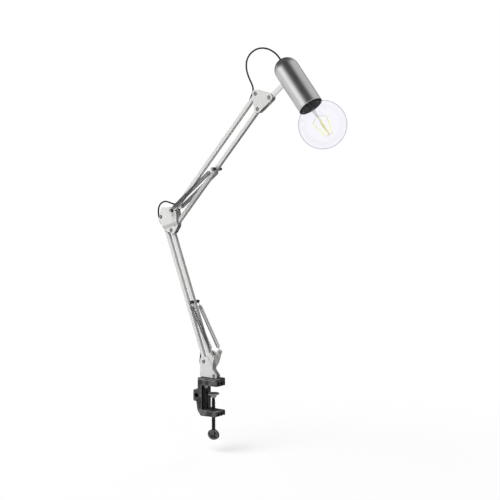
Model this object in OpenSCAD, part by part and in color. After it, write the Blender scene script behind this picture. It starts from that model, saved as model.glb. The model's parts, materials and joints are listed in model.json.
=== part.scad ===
/* [Clamp] */
// Width of the clamp along the desk's edge
clamp_w = 32; // [28:1:44]
// Reach of the jaws in front of the screw
jaw_reach = 22; // [18:1:30]
// Thickness of the upper jaw
upper_jaw_t = 15; // [12:1:20]
// Thickness of the lower jaw
lower_jaw_t = 12; // [10:1:16]
// Height between the two jaws
throat_h = 53.5; // [48:0.5:70]
// Distance from the screw to the spine's inner face
throat_d = 20; // [19:1:30]
// Thickness of the spine
spine_t = 10; // [8:1:14]
// Depth of the pockets in the jaws' front faces
pocket_d = 5; // [2:0.5:8]
// Width of a pocket between two ribs
pocket_w = 7; // [4:0.5:8]
// Diameter of both bores that take the post
post_bore_d = 10.1; // [8:0.1:10.5]
// Wall round the post's bores
bore_wall = 3; // [2:0.25:3.5]
// Depth of the upright bore
post_bore_depth = 44; // [30:1:48]
// Height of the side boss
boss_h = 25; // [22:0.5:28]
// Distance of the side bore behind the spine
side_bore_out = 4.1; // [3.5:0.1:8]
// Depth of the side boss's middle under the desk top
boss_drop = 24; // [20:0.5:28]

/* [Screw] */
// Diameter of the screw
screw_d = 8; // [6:0.5:9]
// Lead of the screw's thread
screw_lead = 2; // [1.5:0.25:3]
// Depth of the pad's top under the desk top
pad_drop = 17.5; // [12:0.5:24]
// Diameter of the pad
pad_d = 25; // [18:0.5:25]
// Thickness of the pad's disc
pad_t = 3; // [2:0.5:4]
// Length of the screw from the pad's neck to the handle
screw_len = 73; // [70:1:100]
// Width of the handle's paddle
paddle_w = 28; // [20:1:34]
// Height of the handle's paddle
paddle_h = 22; // [18:1:26]
// Thickness of the handle's paddle
paddle_t = 5; // [4:0.5:8]

/* [Bracket] */
// Thickness of the pressed plates
plate_t = 1.5; // [1:0.1:2]
// Height of the rear pivot over the desk top
pivot_h = 48.5; // [44:0.5:60]
// Width of the washer's gap under the bracket
washer_t = 1; // [0.6:0.1:2]
// Outward step of the bracket's front flange
flange_step = 4.9; // [3:0.1:6]
// Width of the slope up to the flange
step_w = 9; // [6:0.5:11]
// Length of the post under the bracket
post_len = 42; // [28:1:43]

/* [Arms] */
// Length of the lower arm between its pivots
lower_len = 325; // [240:5:400]
// Length of the upper arm between its pivots
upper_len = 325; // [240:5:400]
// Lean of the lower arm
lower_angle = 111; // [105:1:116]
// Slope of the upper arm
upper_angle = 47.5; // [40:0.5:55]
// Outside width of the square tubes
tube_w = 8; // [7:0.5:9]
// Wall of the square tubes
tube_wall = 0.8; // [0.6:0.1:1.2]
// Radius of the pivot pins
pin_r = 1.5; // [1.2:0.1:1.8]
// Running clearance round a pivot pin
pin_gap = 0.05; // [0.02:0.01:0.09]
// Clearance round a pin where the linkage is opened
open_gap = 0.15; // [0.1:0.01:0.3]
// Play between a tube and the plates' washers
side_gap = 0.1; // [0.05:0.01:0.2]
// Thickness of the washers beside the tubes
spacer_t = 0.6; // [0.4:0.1:1]
// Outward step of the elbow plates
elbow_step = 2.2; // [1.5:0.1:2.4]
// Width of the slope up to that step
elbow_slope = 7.5; // [6:0.5:9]
// Radius of a rivet's head
rivet_r = 4; // [3:0.25:4.5]
// Thickness of a rivet's head
rivet_t = 1.2; // [0.8:0.1:2]

/* [Springs] */
// Outside diameter of the springs
spring_d = 8.6; // [7:0.2:9]
// Diameter of the springs' wire
wire_d = 1.3; // [1:0.1:1.4]
// Turns in each spring
curls = 22; // [12:1:22]
// Length from a spring's eye to its first turn
spring_lead = 9; // [8:0.5:14]
// Distance of the spring pins' eyes from the middle
eye_y = 13; // [11.5:0.25:14]
// Radius of the spring pins
spring_pin_r = 2; // [1.6:0.1:2.4]
// Distance of the lower spring pin from the front pivot
lower_pin_s = 163; // [120:1:200]
// Distance of the upper spring pin from the front pivot
upper_pin_s = 162; // [120:1:200]

/* [Head] */
// Slope of the head's axis
head_angle = -52.4; // [-60:0.1:-45]
// Outside diameter of the head
head_d = 50; // [48:0.5:60]
// Length of the head's straight part
head_len = 91.3; // [88:0.5:110]
// Wall of the head
head_wall = 0.9; // [0.6:0.1:1.5]
// Distance from the tilt pivot to the head's axis
stem_reach = 63.6; // [55:0.1:80]
// Distance of the stem behind the dome's middle
stem_drop = 17; // [12:0.5:24]
// Diameter of the bulb's globe
bulb_d = 95; // [80:1:100]
// Length of the bulb's cap and neck together
bulb_neck = 43; // [40:1:50]
// Distance from the dome's middle to the bulb's contact
bulb_tip = 47; // [45:0.5:56]

/* [Cord] */
// Diameter of the cord
cord_d = 3.4; // [3:0.1:3.8]
// Length of the slots where the cord leaves a tube
slot_len = 20; // [16:1:24]

/* [Hidden] */
$fn = 48;

// Colours of the finishes
black = [0.13, 0.13, 0.14];
white = [0.88, 0.87, 0.83];
nickel = [0.72, 0.71, 0.68];
steel = [0.58, 0.58, 0.58];

// Small clearances that no size above sets
seat_gap = 0.05;
cut = 1;
far = 200;

// Turns a direction in degrees into a vector in the lamp's plane
function dir(a) = [cos(a), sin(a)];
function unit(v) = v / norm(v);
function left(v) = [-v.y, v.x];

// Pivots: rear and front of each parallelogram, in the lamp's plane
post_x = -(throat_d + 1.5);
base_offset = [27.5, -28];
elbow_offset = [32.5, 14.5];
upper_offset = [5.5, -31];
tilt_offset = [34, -9];
horn_offset = [30.3, 21.3];
base_rear = [post_x, pivot_h];
base_front = base_rear + base_offset;
horn = base_rear + horn_offset;
elbow_rear = base_rear + lower_len * dir(lower_angle);
elbow_front = elbow_rear + base_offset;
upper_rear = elbow_rear + elbow_offset;
upper_front = upper_rear + upper_offset;
head_rear = upper_rear + upper_len * dir(upper_angle);
head_front = head_rear + upper_offset;
tilt = head_rear + tilt_offset;
lower_pin = base_front + lower_pin_s * dir(lower_angle);
upper_pin = upper_front + upper_pin_s * dir(upper_angle);

// Levels across the lamp: tube side, plate's inner side and plate's outer side
tube_y = tube_w / 2;
plate_in = tube_y + spacer_t + side_gap;
plate_out = plate_in + plate_t;
elbow_in = plate_in + elbow_step;
elbow_out = elbow_in + plate_t;
slope_pin_y = (plate_out + elbow_out) / 2;
horn_in = plate_in + flange_step;
pin_end = eye_y + 3;
eye_r = spring_pin_r + wire_d / 2 + 0.3;
horn_pin_r = spring_pin_r + 0.6;
horn_eye_r = horn_pin_r + wire_d / 2 + 0.3;

// A polygon's corner rounded to a radius
function corner(a, b, c, r, n = 6) =
  let (u = unit(a - b), w = unit(c - b), half = acos(u * w) / 2,
       m = b + unit(u + w) * r / sin(half),
       p = b + u * r / tan(half) - m, q = b + w * r / tan(half) - m,
       a0 = atan2(p.y, p.x), raw = atan2(q.y, q.x) - a0,
       turn = raw > 180 ? raw - 360 : raw < -180 ? raw + 360 : raw)
  [for (i = [0:n]) m + r * dir(a0 + turn * i / n)];
function rounded(pts, radii) =
  let (n = len(pts))
  [for (i = [0:n - 1]) each corner(pts[(i + n - 1) % n], pts[i], pts[(i + 1) % n], radii[i])];
function moved(pts, by) = [for (p = pts) p + by];

// Outline drawn round some centres, listed clockwise, at one radius
function around(c, r, n = 8) =
  let (k = len(c))
  [for (i = [0:k - 1])
    let (d0 = unit(c[i] - c[(i + k - 1) % k]), d1 = unit(c[(i + 1) % k] - c[i]),
         a0 = atan2(d0.x, -d0.y), raw = atan2(d1.x, -d1.y) - a0,
         turn = raw > 0 ? raw - 360 : raw)
    for (j = [0:n]) c[i] + r * dir(a0 + turn * j / n)];

// Extrudes a flat shape of the lamp's plane between two levels across the lamp
module slab(y0, y1) {
  translate([0, y1, 0]) rotate([90, 0, 0]) linear_extrude(y1 - y0) children();
}

// A round bar across the lamp
module bar(p, r, y0, y1) {
  translate([p.x, y1, p.y]) rotate([90, 0, 0]) cylinder(r = r, h = y1 - y0);
}

module ring(p, r, hole, y0, y1) {
  difference() {
    bar(p, r, y0, y1);
    bar(p, hole, y0 - cut, y1 + cut);
  }
}

// Places a child with its x axis along a direction of the lamp's plane
module along(p, a) {
  translate([p.x, 0, p.y]) rotate([0, -a, 0]) children();
}

module both_sides() {
  children();
  mirror([0, 1, 0]) children();
}

// A pressed plate with an outward or inward step along a sloping line
module stepped_plate(outline, p, a, w, y_left, y_right) {
  intersection() {
    slab(0, far) polygon(outline);
    along(p, a) union() {
      translate([-far, y_left, 0]) cube([2 * far, plate_t, far]);
      translate([-far, y_right, -far]) cube([2 * far, plate_t, far - w]);
      translate([-far, 0, 0]) rotate([90, 0, 90]) linear_extrude(2 * far)
        polygon([[y_left, 0], [y_left + plate_t, 0], [y_right + plate_t, -w], [y_right, -w]]);
    }
  }
}

// A flanged rivet with a dimple in each head
module rivet(p, y) {
  difference() {
    union() {
      bar(p, pin_r, -y, y);
      both_sides() {
        bar(p, rivet_r, y, y + rivet_t * 0.5);
        bar(p, rivet_r * 0.68, y + rivet_t * 0.5, y + rivet_t);
      }
    }
    both_sides() bar(p, rivet_r * 0.3, y + rivet_t * 0.4, y + rivet_t + cut);
  }
}

// A pair of washers between a tube and the plates
module spacer_pair(p, y) {
  both_sides() ring(p, rivet_r, pin_r + pin_gap, tube_y + side_gap / 2, y - side_gap / 2);
}

// A square tube with rounded ends and a hole for the pin at each end
module square_tube(p, q, gap_p, gap_q) {
  a = atan2(q.y - p.y, q.x - p.x);
  length = norm(q - p);
  inner = tube_w - 2 * tube_wall;
  difference() {
    slab(-tube_y, tube_y) {
      translate(p) circle(tube_y);
      translate(q) circle(tube_y);
      translate(p) rotate(a) translate([0, -tube_y]) square([length, tube_w]);
    }
    along(p, a) translate([-tube_w, -inner / 2, -inner / 2]) cube([length + 2 * tube_w, inner, inner]);
    bar(p, pin_r + gap_p, -far, far);
    bar(q, pin_r + gap_q, -far, far);
  }
}

// The slot in a tube's rear wall where the cord comes out
module cord_slot(p, a, s) {
  w = cord_d + 1;
  along(p, a) translate([s, 0, tube_y]) linear_extrude(tube_w / 2, center = true) {
    square([slot_len - w, w], center = true);
    for (e = [-1, 1]) translate([e * (slot_len - w) / 2, 0]) circle(d = w);
  }
}

// Clamp

spine_out = -(throat_d + spine_t);
side_bore = [spine_out - side_bore_out, -boss_drop];
boss_out = side_bore.x - post_bore_d / 2 - bore_wall;
boss_top = -boss_drop + boss_h / 2;
jaw_top = -throat_h;
clamp_bottom = jaw_top - lower_jaw_t;
bore_chamfer = 0.7;

module clamp_profile() {
  polygon(rounded([
    [spine_out, upper_jaw_t], [jaw_reach, upper_jaw_t], [jaw_reach, 0], [-throat_d, 0],
    [-throat_d, jaw_top], [jaw_reach - 1, jaw_top], [jaw_reach - 2, clamp_bottom + 1],
    [spine_out + 8, clamp_bottom - 1], [spine_out - 1, jaw_top - 2],
    [spine_out - 4, boss_top - boss_h], [boss_out, boss_top - boss_h], [boss_out, boss_top],
    [spine_out, boss_top]],
    [1.5, 2, 1, 3, 3, 1, 2, 3, 3, 1, 3, 3, 1]));
}

module pocket_row(x, z, h) {
  pitch = (clamp_w - 2) / 3;
  for (i = [-1:1]) translate([x, i * pitch - pocket_w / 2, z]) cube([pocket_d + cut, pocket_w, h]);
}

module clamp_body() {
  bore_r = post_bore_d / 2;
  color(black) difference() {
    union() {
      intersection() {
        slab(-clamp_w / 2, clamp_w / 2) clamp_profile();
        translate([0, 0, -far / 2]) linear_extrude(far) {
          square([far, clamp_w - 12], center = true);
          translate([-far, -clamp_w / 2]) square([far + jaw_reach - 6, clamp_w]);
          for (s = [-1, 1]) translate([jaw_reach - 6, s * (clamp_w / 2 - 6)]) circle(6);
        }
      }
      translate([post_x, 0, clamp_bottom + 1]) cylinder(r = bore_r + bore_wall, h = throat_h + 2);
    }
    // Groove that marks off the top slab
    difference() {
      translate([-far / 2, -far / 2, upper_jaw_t - 4]) cube([far, far, 0.8]);
      translate([-far / 2, -clamp_w / 2 + 0.8, 0]) cube([far / 2 + jaw_reach - 0.8, clamp_w - 1.6, far]);
    }
    pocket_row(jaw_reach - pocket_d, 2.5, upper_jaw_t - 8.5);
    pocket_row(jaw_reach - 1 - pocket_d, clamp_bottom - 2, lower_jaw_t - 1);
    // Hollows between the spine's ribs
    for (s = [-1, 1])
      translate([-throat_d - spine_t / 2, s * (clamp_w / 2 - 4.5) - 2, jaw_top + 4])
        cube([spine_t / 2 + cut, 4, throat_h - 8]);
    translate([post_x, 0, upper_jaw_t - post_bore_depth]) cylinder(r = bore_r, h = post_bore_depth + cut);
    bar(side_bore, bore_r, -far, far);
    both_sides() translate([side_bore.x, clamp_w / 2 - bore_chamfer, side_bore.y]) rotate([-90, 0, 0])
      cylinder(r1 = bore_r, r2 = bore_r + bore_chamfer * 2, h = bore_chamfer * 2);
    translate([0, 0, -far]) cylinder(r = screw_d / 2 + pin_gap, h = far - throat_h / 2);
  }
}

pad_low = -pad_drop - pad_t;
neck_r = screw_d / 2 - 1;
hub_h = 6;

module pressure_pad() {
  color(steel) difference() {
    union() {
      translate([0, 0, pad_low]) cylinder(d = pad_d, h = pad_t);
      translate([0, 0, pad_low - hub_h]) cylinder(d1 = screw_d + 4, d2 = screw_d + 7, h = hub_h);
    }
    translate([0, 0, -pad_drop - 1]) cylinder(d1 = pad_d - 5, d2 = pad_d - 3, h = 1 + cut);
    translate([0, 0, pad_low - hub_h - cut]) cylinder(r = neck_r + pin_gap, h = hub_h + cut);
  }
}

screw_top = pad_low - seat_gap;
screw_low = pad_low - hub_h - screw_len;

module clamp_screw() {
  thread_depth = 0.35;
  rings = floor((screw_len - 8) / screw_lead);
  color(black) difference() {
    union() {
      translate([0, 0, screw_low - hub_h]) cylinder(d = screw_d, h = screw_len + hub_h - seat_gap);
      translate([0, 0, screw_low]) cylinder(r = neck_r, h = screw_top - screw_low);
    }
    for (i = [0:rings - 1]) translate([0, 0, screw_low + 6 + i * screw_lead])
      rotate_extrude() translate([screw_d / 2, 0])
        polygon([[-thread_depth, 0], [cut, -cut], [cut, cut]]);
  }
}

module screw_handle() {
  boss_r = screw_d / 2 + 2.5;
  z0 = screw_low - paddle_h + 4;
  color(black) difference() {
    union() {
      translate([0, 0, z0 + paddle_h / 2]) slab(-paddle_t / 2, paddle_t / 2)
        polygon([for (i = [0:47]) [paddle_w / 2 * cos(i * 7.5), paddle_h / 2 * sin(i * 7.5)]]);
      translate([0, 0, screw_low - 6]) cylinder(r = boss_r, h = 9);
    }
    both_sides() translate([0, 0, z0 + paddle_h / 2]) slab(paddle_t / 2 - 0.9, paddle_t)
      polygon([for (i = [0:47]) [(paddle_w / 2 - 2.5) * cos(i * 7.5), (paddle_h / 2 - 2.5) * sin(i * 7.5)]]);
    translate([0, 0, screw_low - hub_h - seat_gap]) cylinder(r = screw_d / 2 + 0.02, h = far);
  }
}

// Bracket that turns on the clamp

floor_z = upper_jaw_t + washer_t;
post_r = post_bore_d / 2 - pin_gap;

module swivel_washer() {
  color(black) translate([post_x, 0, upper_jaw_t]) difference() {
    cylinder(r = post_r + 4, h = washer_t);
    translate([0, 0, -cut]) cylinder(r = post_r + pin_gap, h = washer_t + 2 * cut);
  }
}

module base_post() {
  color(steel) {
    translate([post_x, 0, upper_jaw_t - post_len]) cylinder(r = post_r, h = post_len + washer_t);
    translate([post_x, 0, floor_z]) cylinder(r = post_r - 1, h = plate_t);
    translate([post_x, 0, floor_z + plate_t]) cylinder(r1 = tube_y, r2 = tube_y - 0.6, h = 1.6);
  }
}

step_angle = atan2(-31, 22);
step_start = base_rear + [16, 15.4];
bracket_low = floor_z - base_rear.y;
horn_r = 6.5;

function bracket_outline() = moved(rounded([
  [-10, bracket_low], [-10, 10], [10.6, 10.5], horn_offset + [-2.1, horn_r], horn_offset + [horn_r, horn_r],
  [33, 12], [23.5, -14], [35, -27], [35, bracket_low]],
  [1, 9.5, 4, 5, 5, 8, 6, 4, 1]), base_rear);

module base_bracket() {
  color(white) difference() {
    union() {
      both_sides() stepped_plate(bracket_outline(), step_start, step_angle, step_w, horn_in, plate_in);
      translate([base_rear.x - 10, -plate_in - cut / 2, floor_z])
        cube([27, 2 * plate_in + cut, plate_t]);
    }
    translate([post_x, 0, 0]) cylinder(r = post_r - 1, h = far);
    bar(base_rear, pin_r, -far, far);
    bar(base_front, pin_r, -far, far);
    bar(horn, horn_pin_r, -far, far);
  }
}

// A rivet for each arm tube and, on each horn, a headed pin for a spring
module base_rivets() {
  color(nickel) {
    for (p = [base_rear, base_front]) rivet(p, plate_out);
    both_sides() {
      bar(horn, horn_pin_r + 0.8, horn_in - 0.8, horn_in);
      bar(horn, horn_pin_r, horn_in, pin_end - 1);
      bar(horn, horn_pin_r + 0.7, pin_end - 1.8, pin_end - 1);
    }
  }
}

module base_spacers() {
  color(white) {
    spacer_pair(base_rear, plate_in);
    spacer_pair(base_front, plate_in);
  }
}

// Lower arm

slot_s = 24;

module lower_rear_tube() {
  color(white) difference() {
    square_tube(base_rear, elbow_rear, pin_gap, pin_gap);
    cord_slot(base_rear, lower_angle, slot_s);
    cord_slot(base_rear, lower_angle, lower_len - slot_s - 3);
  }
}

module lower_front_tube() {
  color(white) difference() {
    square_tube(base_front, elbow_front, pin_gap, open_gap);
    bar(lower_pin, spring_pin_r, -far, far);
  }
}

module spring_pin(p) {
  color(nickel) {
    bar(p, spring_pin_r, -pin_end, pin_end);
    both_sides() bar(p, spring_pin_r + 1, pin_end - 1.2, pin_end);
  }
}

sleeve_r = spring_d / 2 - 0.6;
sleeve_play = 0.3;

module sleeves(p, y0) {
  color(black) both_sides()
    ring(p, sleeve_r, spring_pin_r, y0 + seat_gap, eye_y - wire_d / 2 - sleeve_play);
}

module lower_spring_pin() {
  spring_pin(lower_pin);
}

module lower_spring_sleeves() {
  sleeves(lower_pin, tube_y);
}

// Springs: a tube swept along a path, with triangles all over
function slopes(path) =
  let (n = len(path)) [for (i = [0:n - 1]) unit(path[min(i + 1, n - 1)] - path[max(i - 1, 0)])];

module sweep(path, normals, tangents, r, sides) {
  n = len(path);
  rings = [for (i = [0:n - 1])
    let (t = tangents[i], u = unit(normals[i] - (normals[i] * t) * t), v = cross(t, u))
    for (k = [0:sides - 1]) path[i] + r * (cos(k * 360 / sides) * u + sin(k * 360 / sides) * v)];
  faces = [
    for (i = [0:n - 2]) for (k = [0:sides - 1])
      let (a = i * sides + k, b = i * sides + (k + 1) % sides)
      each [[a, a + sides, b], [b, a + sides, b + sides]],
    for (k = [1:sides - 2]) each [[0, k, k + 1], [(n - 1) * sides, (n - 1) * sides + k + 1, (n - 1) * sides + k]]
  ];
  polyhedron(rings, faces);
}

// Height and radius along a spring, which leaves its axis and comes back to it
curl_rings = 8;
coil_r = (spring_d - wire_d) / 2;
function coil_points(length) =
  let (n = curls * curl_rings, z0 = spring_lead, z1 = length - spring_lead)
  [for (i = [0:n])
    let (t = i / curl_rings, edge = min(t, curls - t), r = coil_r * min(1, edge / 0.75),
         a = 360 * t)
    [r * cos(a), r * sin(a), z0 + (z1 - z0) * i / n]];
function coil_normals() =
  [for (i = [0:curls * curl_rings]) let (a = 360 * i / curl_rings) [cos(a), sin(a), 0]];
function with_ends(length) =
  let (c = coil_points(length), e = [0, 0, wire_d])
  concat([c[0] - e], c, [c[len(c) - 1] + e]);
function end_normals() = let (m = coil_normals()) concat([m[0]], m, [m[len(m) - 1]]);

// Least distance between the wire's middle lines on successive turns, less the wire
function coil_gap(length) =
  let (c = coil_points(length), n = len(c))
  min([for (i = [0:n - 1]) for (j = [i + curl_rings / 2:min(i + 2 * curl_rings, n - 1)]) norm(c[j] - c[i])])
  - wire_d;

// Places a child with its z axis from one point of space to another
module between(p, q) {
  d = q - p;
  translate(p) rotate([0, acos(d.z / norm(d)), atan2(d.y, d.x)]) children();
}

function at(p, y) = [p.x, y, p.y];

lower_from = at(horn, -eye_y);
lower_to = at(lower_pin, -eye_y);
upper_from = at(upper_rear, -eye_y);
upper_to = at(upper_pin, -eye_y);
lower_spring_len = norm(lower_to - lower_from);
upper_spring_len = norm(upper_to - upper_from);
echo(lower_spring_gap = coil_gap(lower_spring_len), upper_spring_gap = coil_gap(upper_spring_len));

module coil(p, q) {
  path = with_ends(norm(q - p));
  color(steel) between(p, q) sweep(path, end_normals(), slopes(path), wire_d / 2, 6);
}

module lower_spring_near() {
  coil(lower_from, lower_to);
}

module lower_spring_far() {
  mirror([0, 1, 0]) coil(lower_from, lower_to);
}

module upper_spring_near() {
  coil(upper_from, upper_to);
}

module upper_spring_far() {
  mirror([0, 1, 0]) coil(upper_from, upper_to);
}

// The wire's ring and shank at a spring's end
module spring_end(p, q, ring_r) {
  color(steel) both_sides() between(p, q) {
    rotate([90, 0, 0]) rotate_extrude() translate([ring_r, 0]) circle(d = wire_d, $fn = 24);
    translate([0, 0, ring_r]) cylinder(d = wire_d, h = spring_lead - wire_d - ring_r - seat_gap);
  }
}

module lower_spring_hooks() {
  spring_end(lower_from, lower_to, horn_eye_r);
}

module lower_spring_eyes() {
  spring_end(lower_to, lower_from, eye_r);
}

module upper_spring_hooks() {
  spring_end(upper_from, upper_to, eye_r);
}

module upper_spring_eyes() {
  spring_end(upper_to, upper_from, eye_r);
}

// Elbow

crease_start = elbow_rear + [4, -21];
crease_angle = 17.4;
function elbow_outline() = moved(rounded([
  [-6.3, -4.5], [1.5, 20], [24, 21.5], [43, 12], [46, -19], [34, -36], [19, -32.5], [8, -27.5]],
  [5, 5, 6, 4, 4, 5, 5, 3]), elbow_rear);

module elbow_plate() {
  color(white) difference() {
    stepped_plate(elbow_outline(), crease_start, crease_angle, elbow_slope, elbow_in, plate_in);
    for (p = [elbow_rear, elbow_front, upper_front]) bar(p, pin_r, -far, far);
    bar(upper_rear, spring_pin_r, -far, far);
  }
}

module elbow_plate_near() {
  mirror([0, 1, 0]) elbow_plate();
}

module elbow_plate_far() {
  elbow_plate();
}

module elbow_rear_rivet() {
  color(nickel) rivet(elbow_rear, elbow_out);
}

// A rivet for the lower arm and, through the slope, a plain pin for the upper arm
module elbow_front_rivets() {
  color(nickel) {
    rivet(elbow_front, plate_out);
    bar(upper_front, pin_r, -slope_pin_y, slope_pin_y);
  }
}

module elbow_spring_pin() {
  spring_pin(upper_rear);
}

module elbow_spring_sleeves() {
  sleeves(upper_rear, elbow_out);
}

module elbow_spacers() {
  color(white) {
    spacer_pair(elbow_rear, elbow_in);
    spacer_pair(elbow_front, plate_in);
    spacer_pair(upper_front, plate_in);
    both_sides() ring(upper_rear, rivet_r, spring_pin_r + pin_gap, tube_y + side_gap / 2, elbow_in - side_gap / 2);
  }
}

// Upper arm

module upper_rear_tube() {
  color(white) difference() {
    square_tube(upper_rear, head_rear, spring_pin_r - pin_r + pin_gap, pin_gap);
    cord_slot(upper_rear, upper_angle, slot_s - 6);
    cord_slot(upper_rear, upper_angle, upper_len - slot_s - 2);
  }
}

module upper_front_tube() {
  color(white) difference() {
    square_tube(upper_front, head_front, pin_gap, open_gap);
    bar(upper_pin, spring_pin_r, -far, far);
  }
}

module upper_spring_pin() {
  spring_pin(upper_pin);
}

module upper_spring_sleeves() {
  sleeves(upper_pin, tube_y);
}

// Head bracket

module head_plate() {
  color(white) difference() {
    slab(plate_in, plate_out) polygon(around([head_rear, tilt, head_front], rivet_r + 4));
    for (p = [head_rear, head_front, tilt]) bar(p, pin_r, -far, far);
  }
}

module head_plate_near() {
  mirror([0, 1, 0]) head_plate();
}

module head_plate_far() {
  head_plate();
}

module head_rivets() {
  color(nickel) for (p = [head_rear, head_front]) rivet(p, plate_out);
}

module head_spacers() {
  color(white) for (p = [head_rear, head_front, tilt]) spacer_pair(p, plate_in);
}

nut_t = 2.4;

module tilt_bolt() {
  color(nickel) difference() {
    union() {
      bar(tilt, pin_r, -plate_out, plate_out + nut_t + 1);
      bar(tilt, rivet_r, -plate_out - rivet_t * 0.5, -plate_out);
      bar(tilt, rivet_r * 0.68, -plate_out - rivet_t, -plate_out - rivet_t * 0.5);
    }
    bar(tilt, rivet_r * 0.3, -plate_out - rivet_t - cut, -plate_out - rivet_t * 0.4);
  }
}

module tilt_nut() {
  color(nickel) difference() {
    translate([tilt.x, plate_out, tilt.y]) rotate([-90, 0, 0]) cylinder(r = 3.2, h = nut_t, $fn = 6);
    bar(tilt, pin_r, 0, far);
  }
}

// Head: its own frame has z along the axis from the dome's middle to the rim

head_r = head_d / 2;
head_dir = dir(head_angle);
dome = tilt + stem_reach * left(head_dir) - stem_drop * head_dir;
module in_head() {
  translate([dome.x, 0, dome.y]) rotate([0, 90 - head_angle, 0]) children();
}
stem_angle = head_angle + 90;
stud_r = 2.5;
stem_len = stem_reach - head_r - seat_gap;

module head_stem() {
  color(nickel) difference() {
    union() {
      slab(-tube_y, tube_y) {
        translate(tilt) circle(tube_y);
        translate(tilt) rotate(stem_angle) translate([0, -tube_y]) square([stem_len, tube_w]);
      }
      along(tilt, stem_angle) rotate([0, 90, 0]) cylinder(r = stud_r, h = stem_reach - head_r + 8);
    }
    bar(tilt, pin_r + pin_gap, -far, far);
  }
}

module stem_nut() {
  color(steel) along(tilt, stem_angle)
    translate([stem_reach - head_r + head_wall + 2.4, 0, 0]) rotate([0, 90, 0]) difference() {
      cylinder(r = 4.6, h = 3.4, $fn = 6);
      translate([0, 0, -cut]) cylinder(r = stud_r, h = far);
    }
}

grommet_r = cord_d / 2 + 2;
rim_bead = 0.9;

module head_cover() {
  inner = head_r - head_wall;
  color(nickel) in_head() difference() {
    union() {
      sphere(head_r, $fn = 96);
      cylinder(r = head_r, h = head_len, $fn = 96);
      translate([0, 0, head_len]) rotate_extrude($fn = 96) translate([head_r - rim_bead / 2, 0]) circle(rim_bead);
    }
    sphere(inner, $fn = 96);
    cylinder(r = inner, h = head_len + 2 * cut, $fn = 96);
    translate([0, 0, -head_r - cut]) cylinder(r = grommet_r - 1, h = head_r);
    translate([0, 0, stem_drop]) rotate([0, 90, 0]) cylinder(r = stud_r + 0.1, h = far);
  }
}

module cord_grommet() {
  lip = 1.2;
  seat = head_r - head_wall;
  color(black) in_head() translate([0, 0, -head_r]) difference() {
    union() {
      translate([0, 0, -lip - 0.5]) cylinder(r1 = grommet_r - 0.6, r2 = grommet_r + 0.6, h = lip + 0.4);
      translate([0, 0, -lip]) cylinder(r = grommet_r - 1 - seat_gap, h = 2 * lip + head_wall);
    }
    translate([0, 0, -far / 2]) cylinder(d = cord_d + 0.1, h = far);
  }
}

holder_top = 36;
holder_r = 19;
holder_low = 72;
thread_r = 13.6;

module holder_bracket() {
  wall_x = head_r - head_wall - 2.3;
  color(steel) in_head() difference() {
    union() {
      translate([wall_x, -6, stem_drop - 8]) cube([1.5, 12, holder_top - stem_drop + 8]);
      translate([-12, -6, holder_top - 1.5]) cube([wall_x + 12 + 0.5, 12, 1.5]);
    }
    translate([0, 0, stem_drop]) rotate([0, 90, 0]) cylinder(r = stud_r + 0.1, h = far);
    cylinder(r = cord_d / 2 + 1, h = far);
  }
}

module lamp_holder() {
  color(black) in_head() difference() {
    translate([0, 0, holder_top]) cylinder(r = holder_r, h = holder_low - holder_top);
    translate([0, 0, holder_top + 8]) cylinder(r = thread_r + 1, h = far);
    cylinder(r = cord_d / 2 + 1, h = holder_top + 5);
  }
}

module holder_shell() {
  color(nickel) in_head() {
    difference() {
      translate([0, 0, holder_top + 9]) cylinder(r = thread_r + 0.9, h = 22);
      translate([0, 0, holder_top + 9 - cut]) cylinder(r = thread_r + 0.1, h = far);
    }
    translate([-1.5, -4, holder_top + 8 + seat_gap]) cube([3, 8, bulb_tip - holder_top - 8 - 2 * seat_gap]);
  }
}

// Bulb, placed by its contact

bulb_r = bulb_d / 2;
bulb_s = bulb_tip + bulb_neck + bulb_r;
cap_r = 13.2;
cap_len = 27;
cap_top = bulb_tip + cap_len;
cap_wall = 2;
neck_w = 15;
glass_wall = 0.8;
seat_play = 0.2;
tail_r = cap_r - cap_wall - seat_play;
tail_end = cap_top - 4.5;

module bulb_cap() {
  thread = [for (i = [0:4]) each [[cap_r - 0.9, bulb_tip + 5 + i * 3.6], [cap_r, bulb_tip + 6.8 + i * 3.6]]];
  color(nickel) in_head() difference() {
    rotate_extrude() polygon(concat(
      [[0, bulb_tip], [4, bulb_tip], [5.5, bulb_tip + 2.4], [cap_r - 2.5, bulb_tip + 3.6]], thread,
      [[cap_r - 0.4, cap_top - 1], [cap_r - 0.4, cap_top], [0, cap_top]]));
    translate([0, 0, bulb_tip + 5]) cylinder(r = cap_r - cap_wall, h = far);
  }
}

// Half outline of the globe with its neck, at an inset from the outer face
function globe_half(inset) =
  let (r = bulb_r - inset, join = 140, start = cap_top + 1 + inset, w = neck_w - inset,
       j = [r * sin(join), bulb_s + r * cos(join)], steps = 8,
       lean = (j.y - start) / tan(join))
  concat(
    [for (i = [0:join / 5]) [r * sin(i * 5), bulb_s + r * cos(i * 5)]],
    [for (i = [1:steps]) let (t = i / steps, e = t * t * (3 - 2 * t))
      [j.x + (w - j.x) * e + lean * t * (1 - t) * (1 - t), j.y + (start - j.y) * t]],
    [[tail_r - inset, start - glass_wall], [tail_r - inset, tail_end - inset]]);

module bulb_glass() {
  color([0.92, 0.92, 0.96, 0.3]) in_head() difference() {
    rotate_extrude($fn = 96) polygon(concat([[0, tail_end]], globe_half(0)));
    rotate_extrude($fn = 96) polygon(concat([[0, tail_end - glass_wall]], globe_half(glass_wall)));
  }
}

stem_end = bulb_s - 24;
flare_r = tail_r - glass_wall - seat_play;

module bulb_stem() {
  color([0.9, 0.92, 0.95, 0.5]) in_head() rotate_extrude() polygon([
    [0, tail_end], [flare_r, tail_end], [flare_r, tail_end + 1.5], [6.5, cap_top + 2], [4.5, cap_top + 14],
    [2.4, stem_end - 4], [2.4, stem_end], [0, stem_end]]);
}

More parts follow.
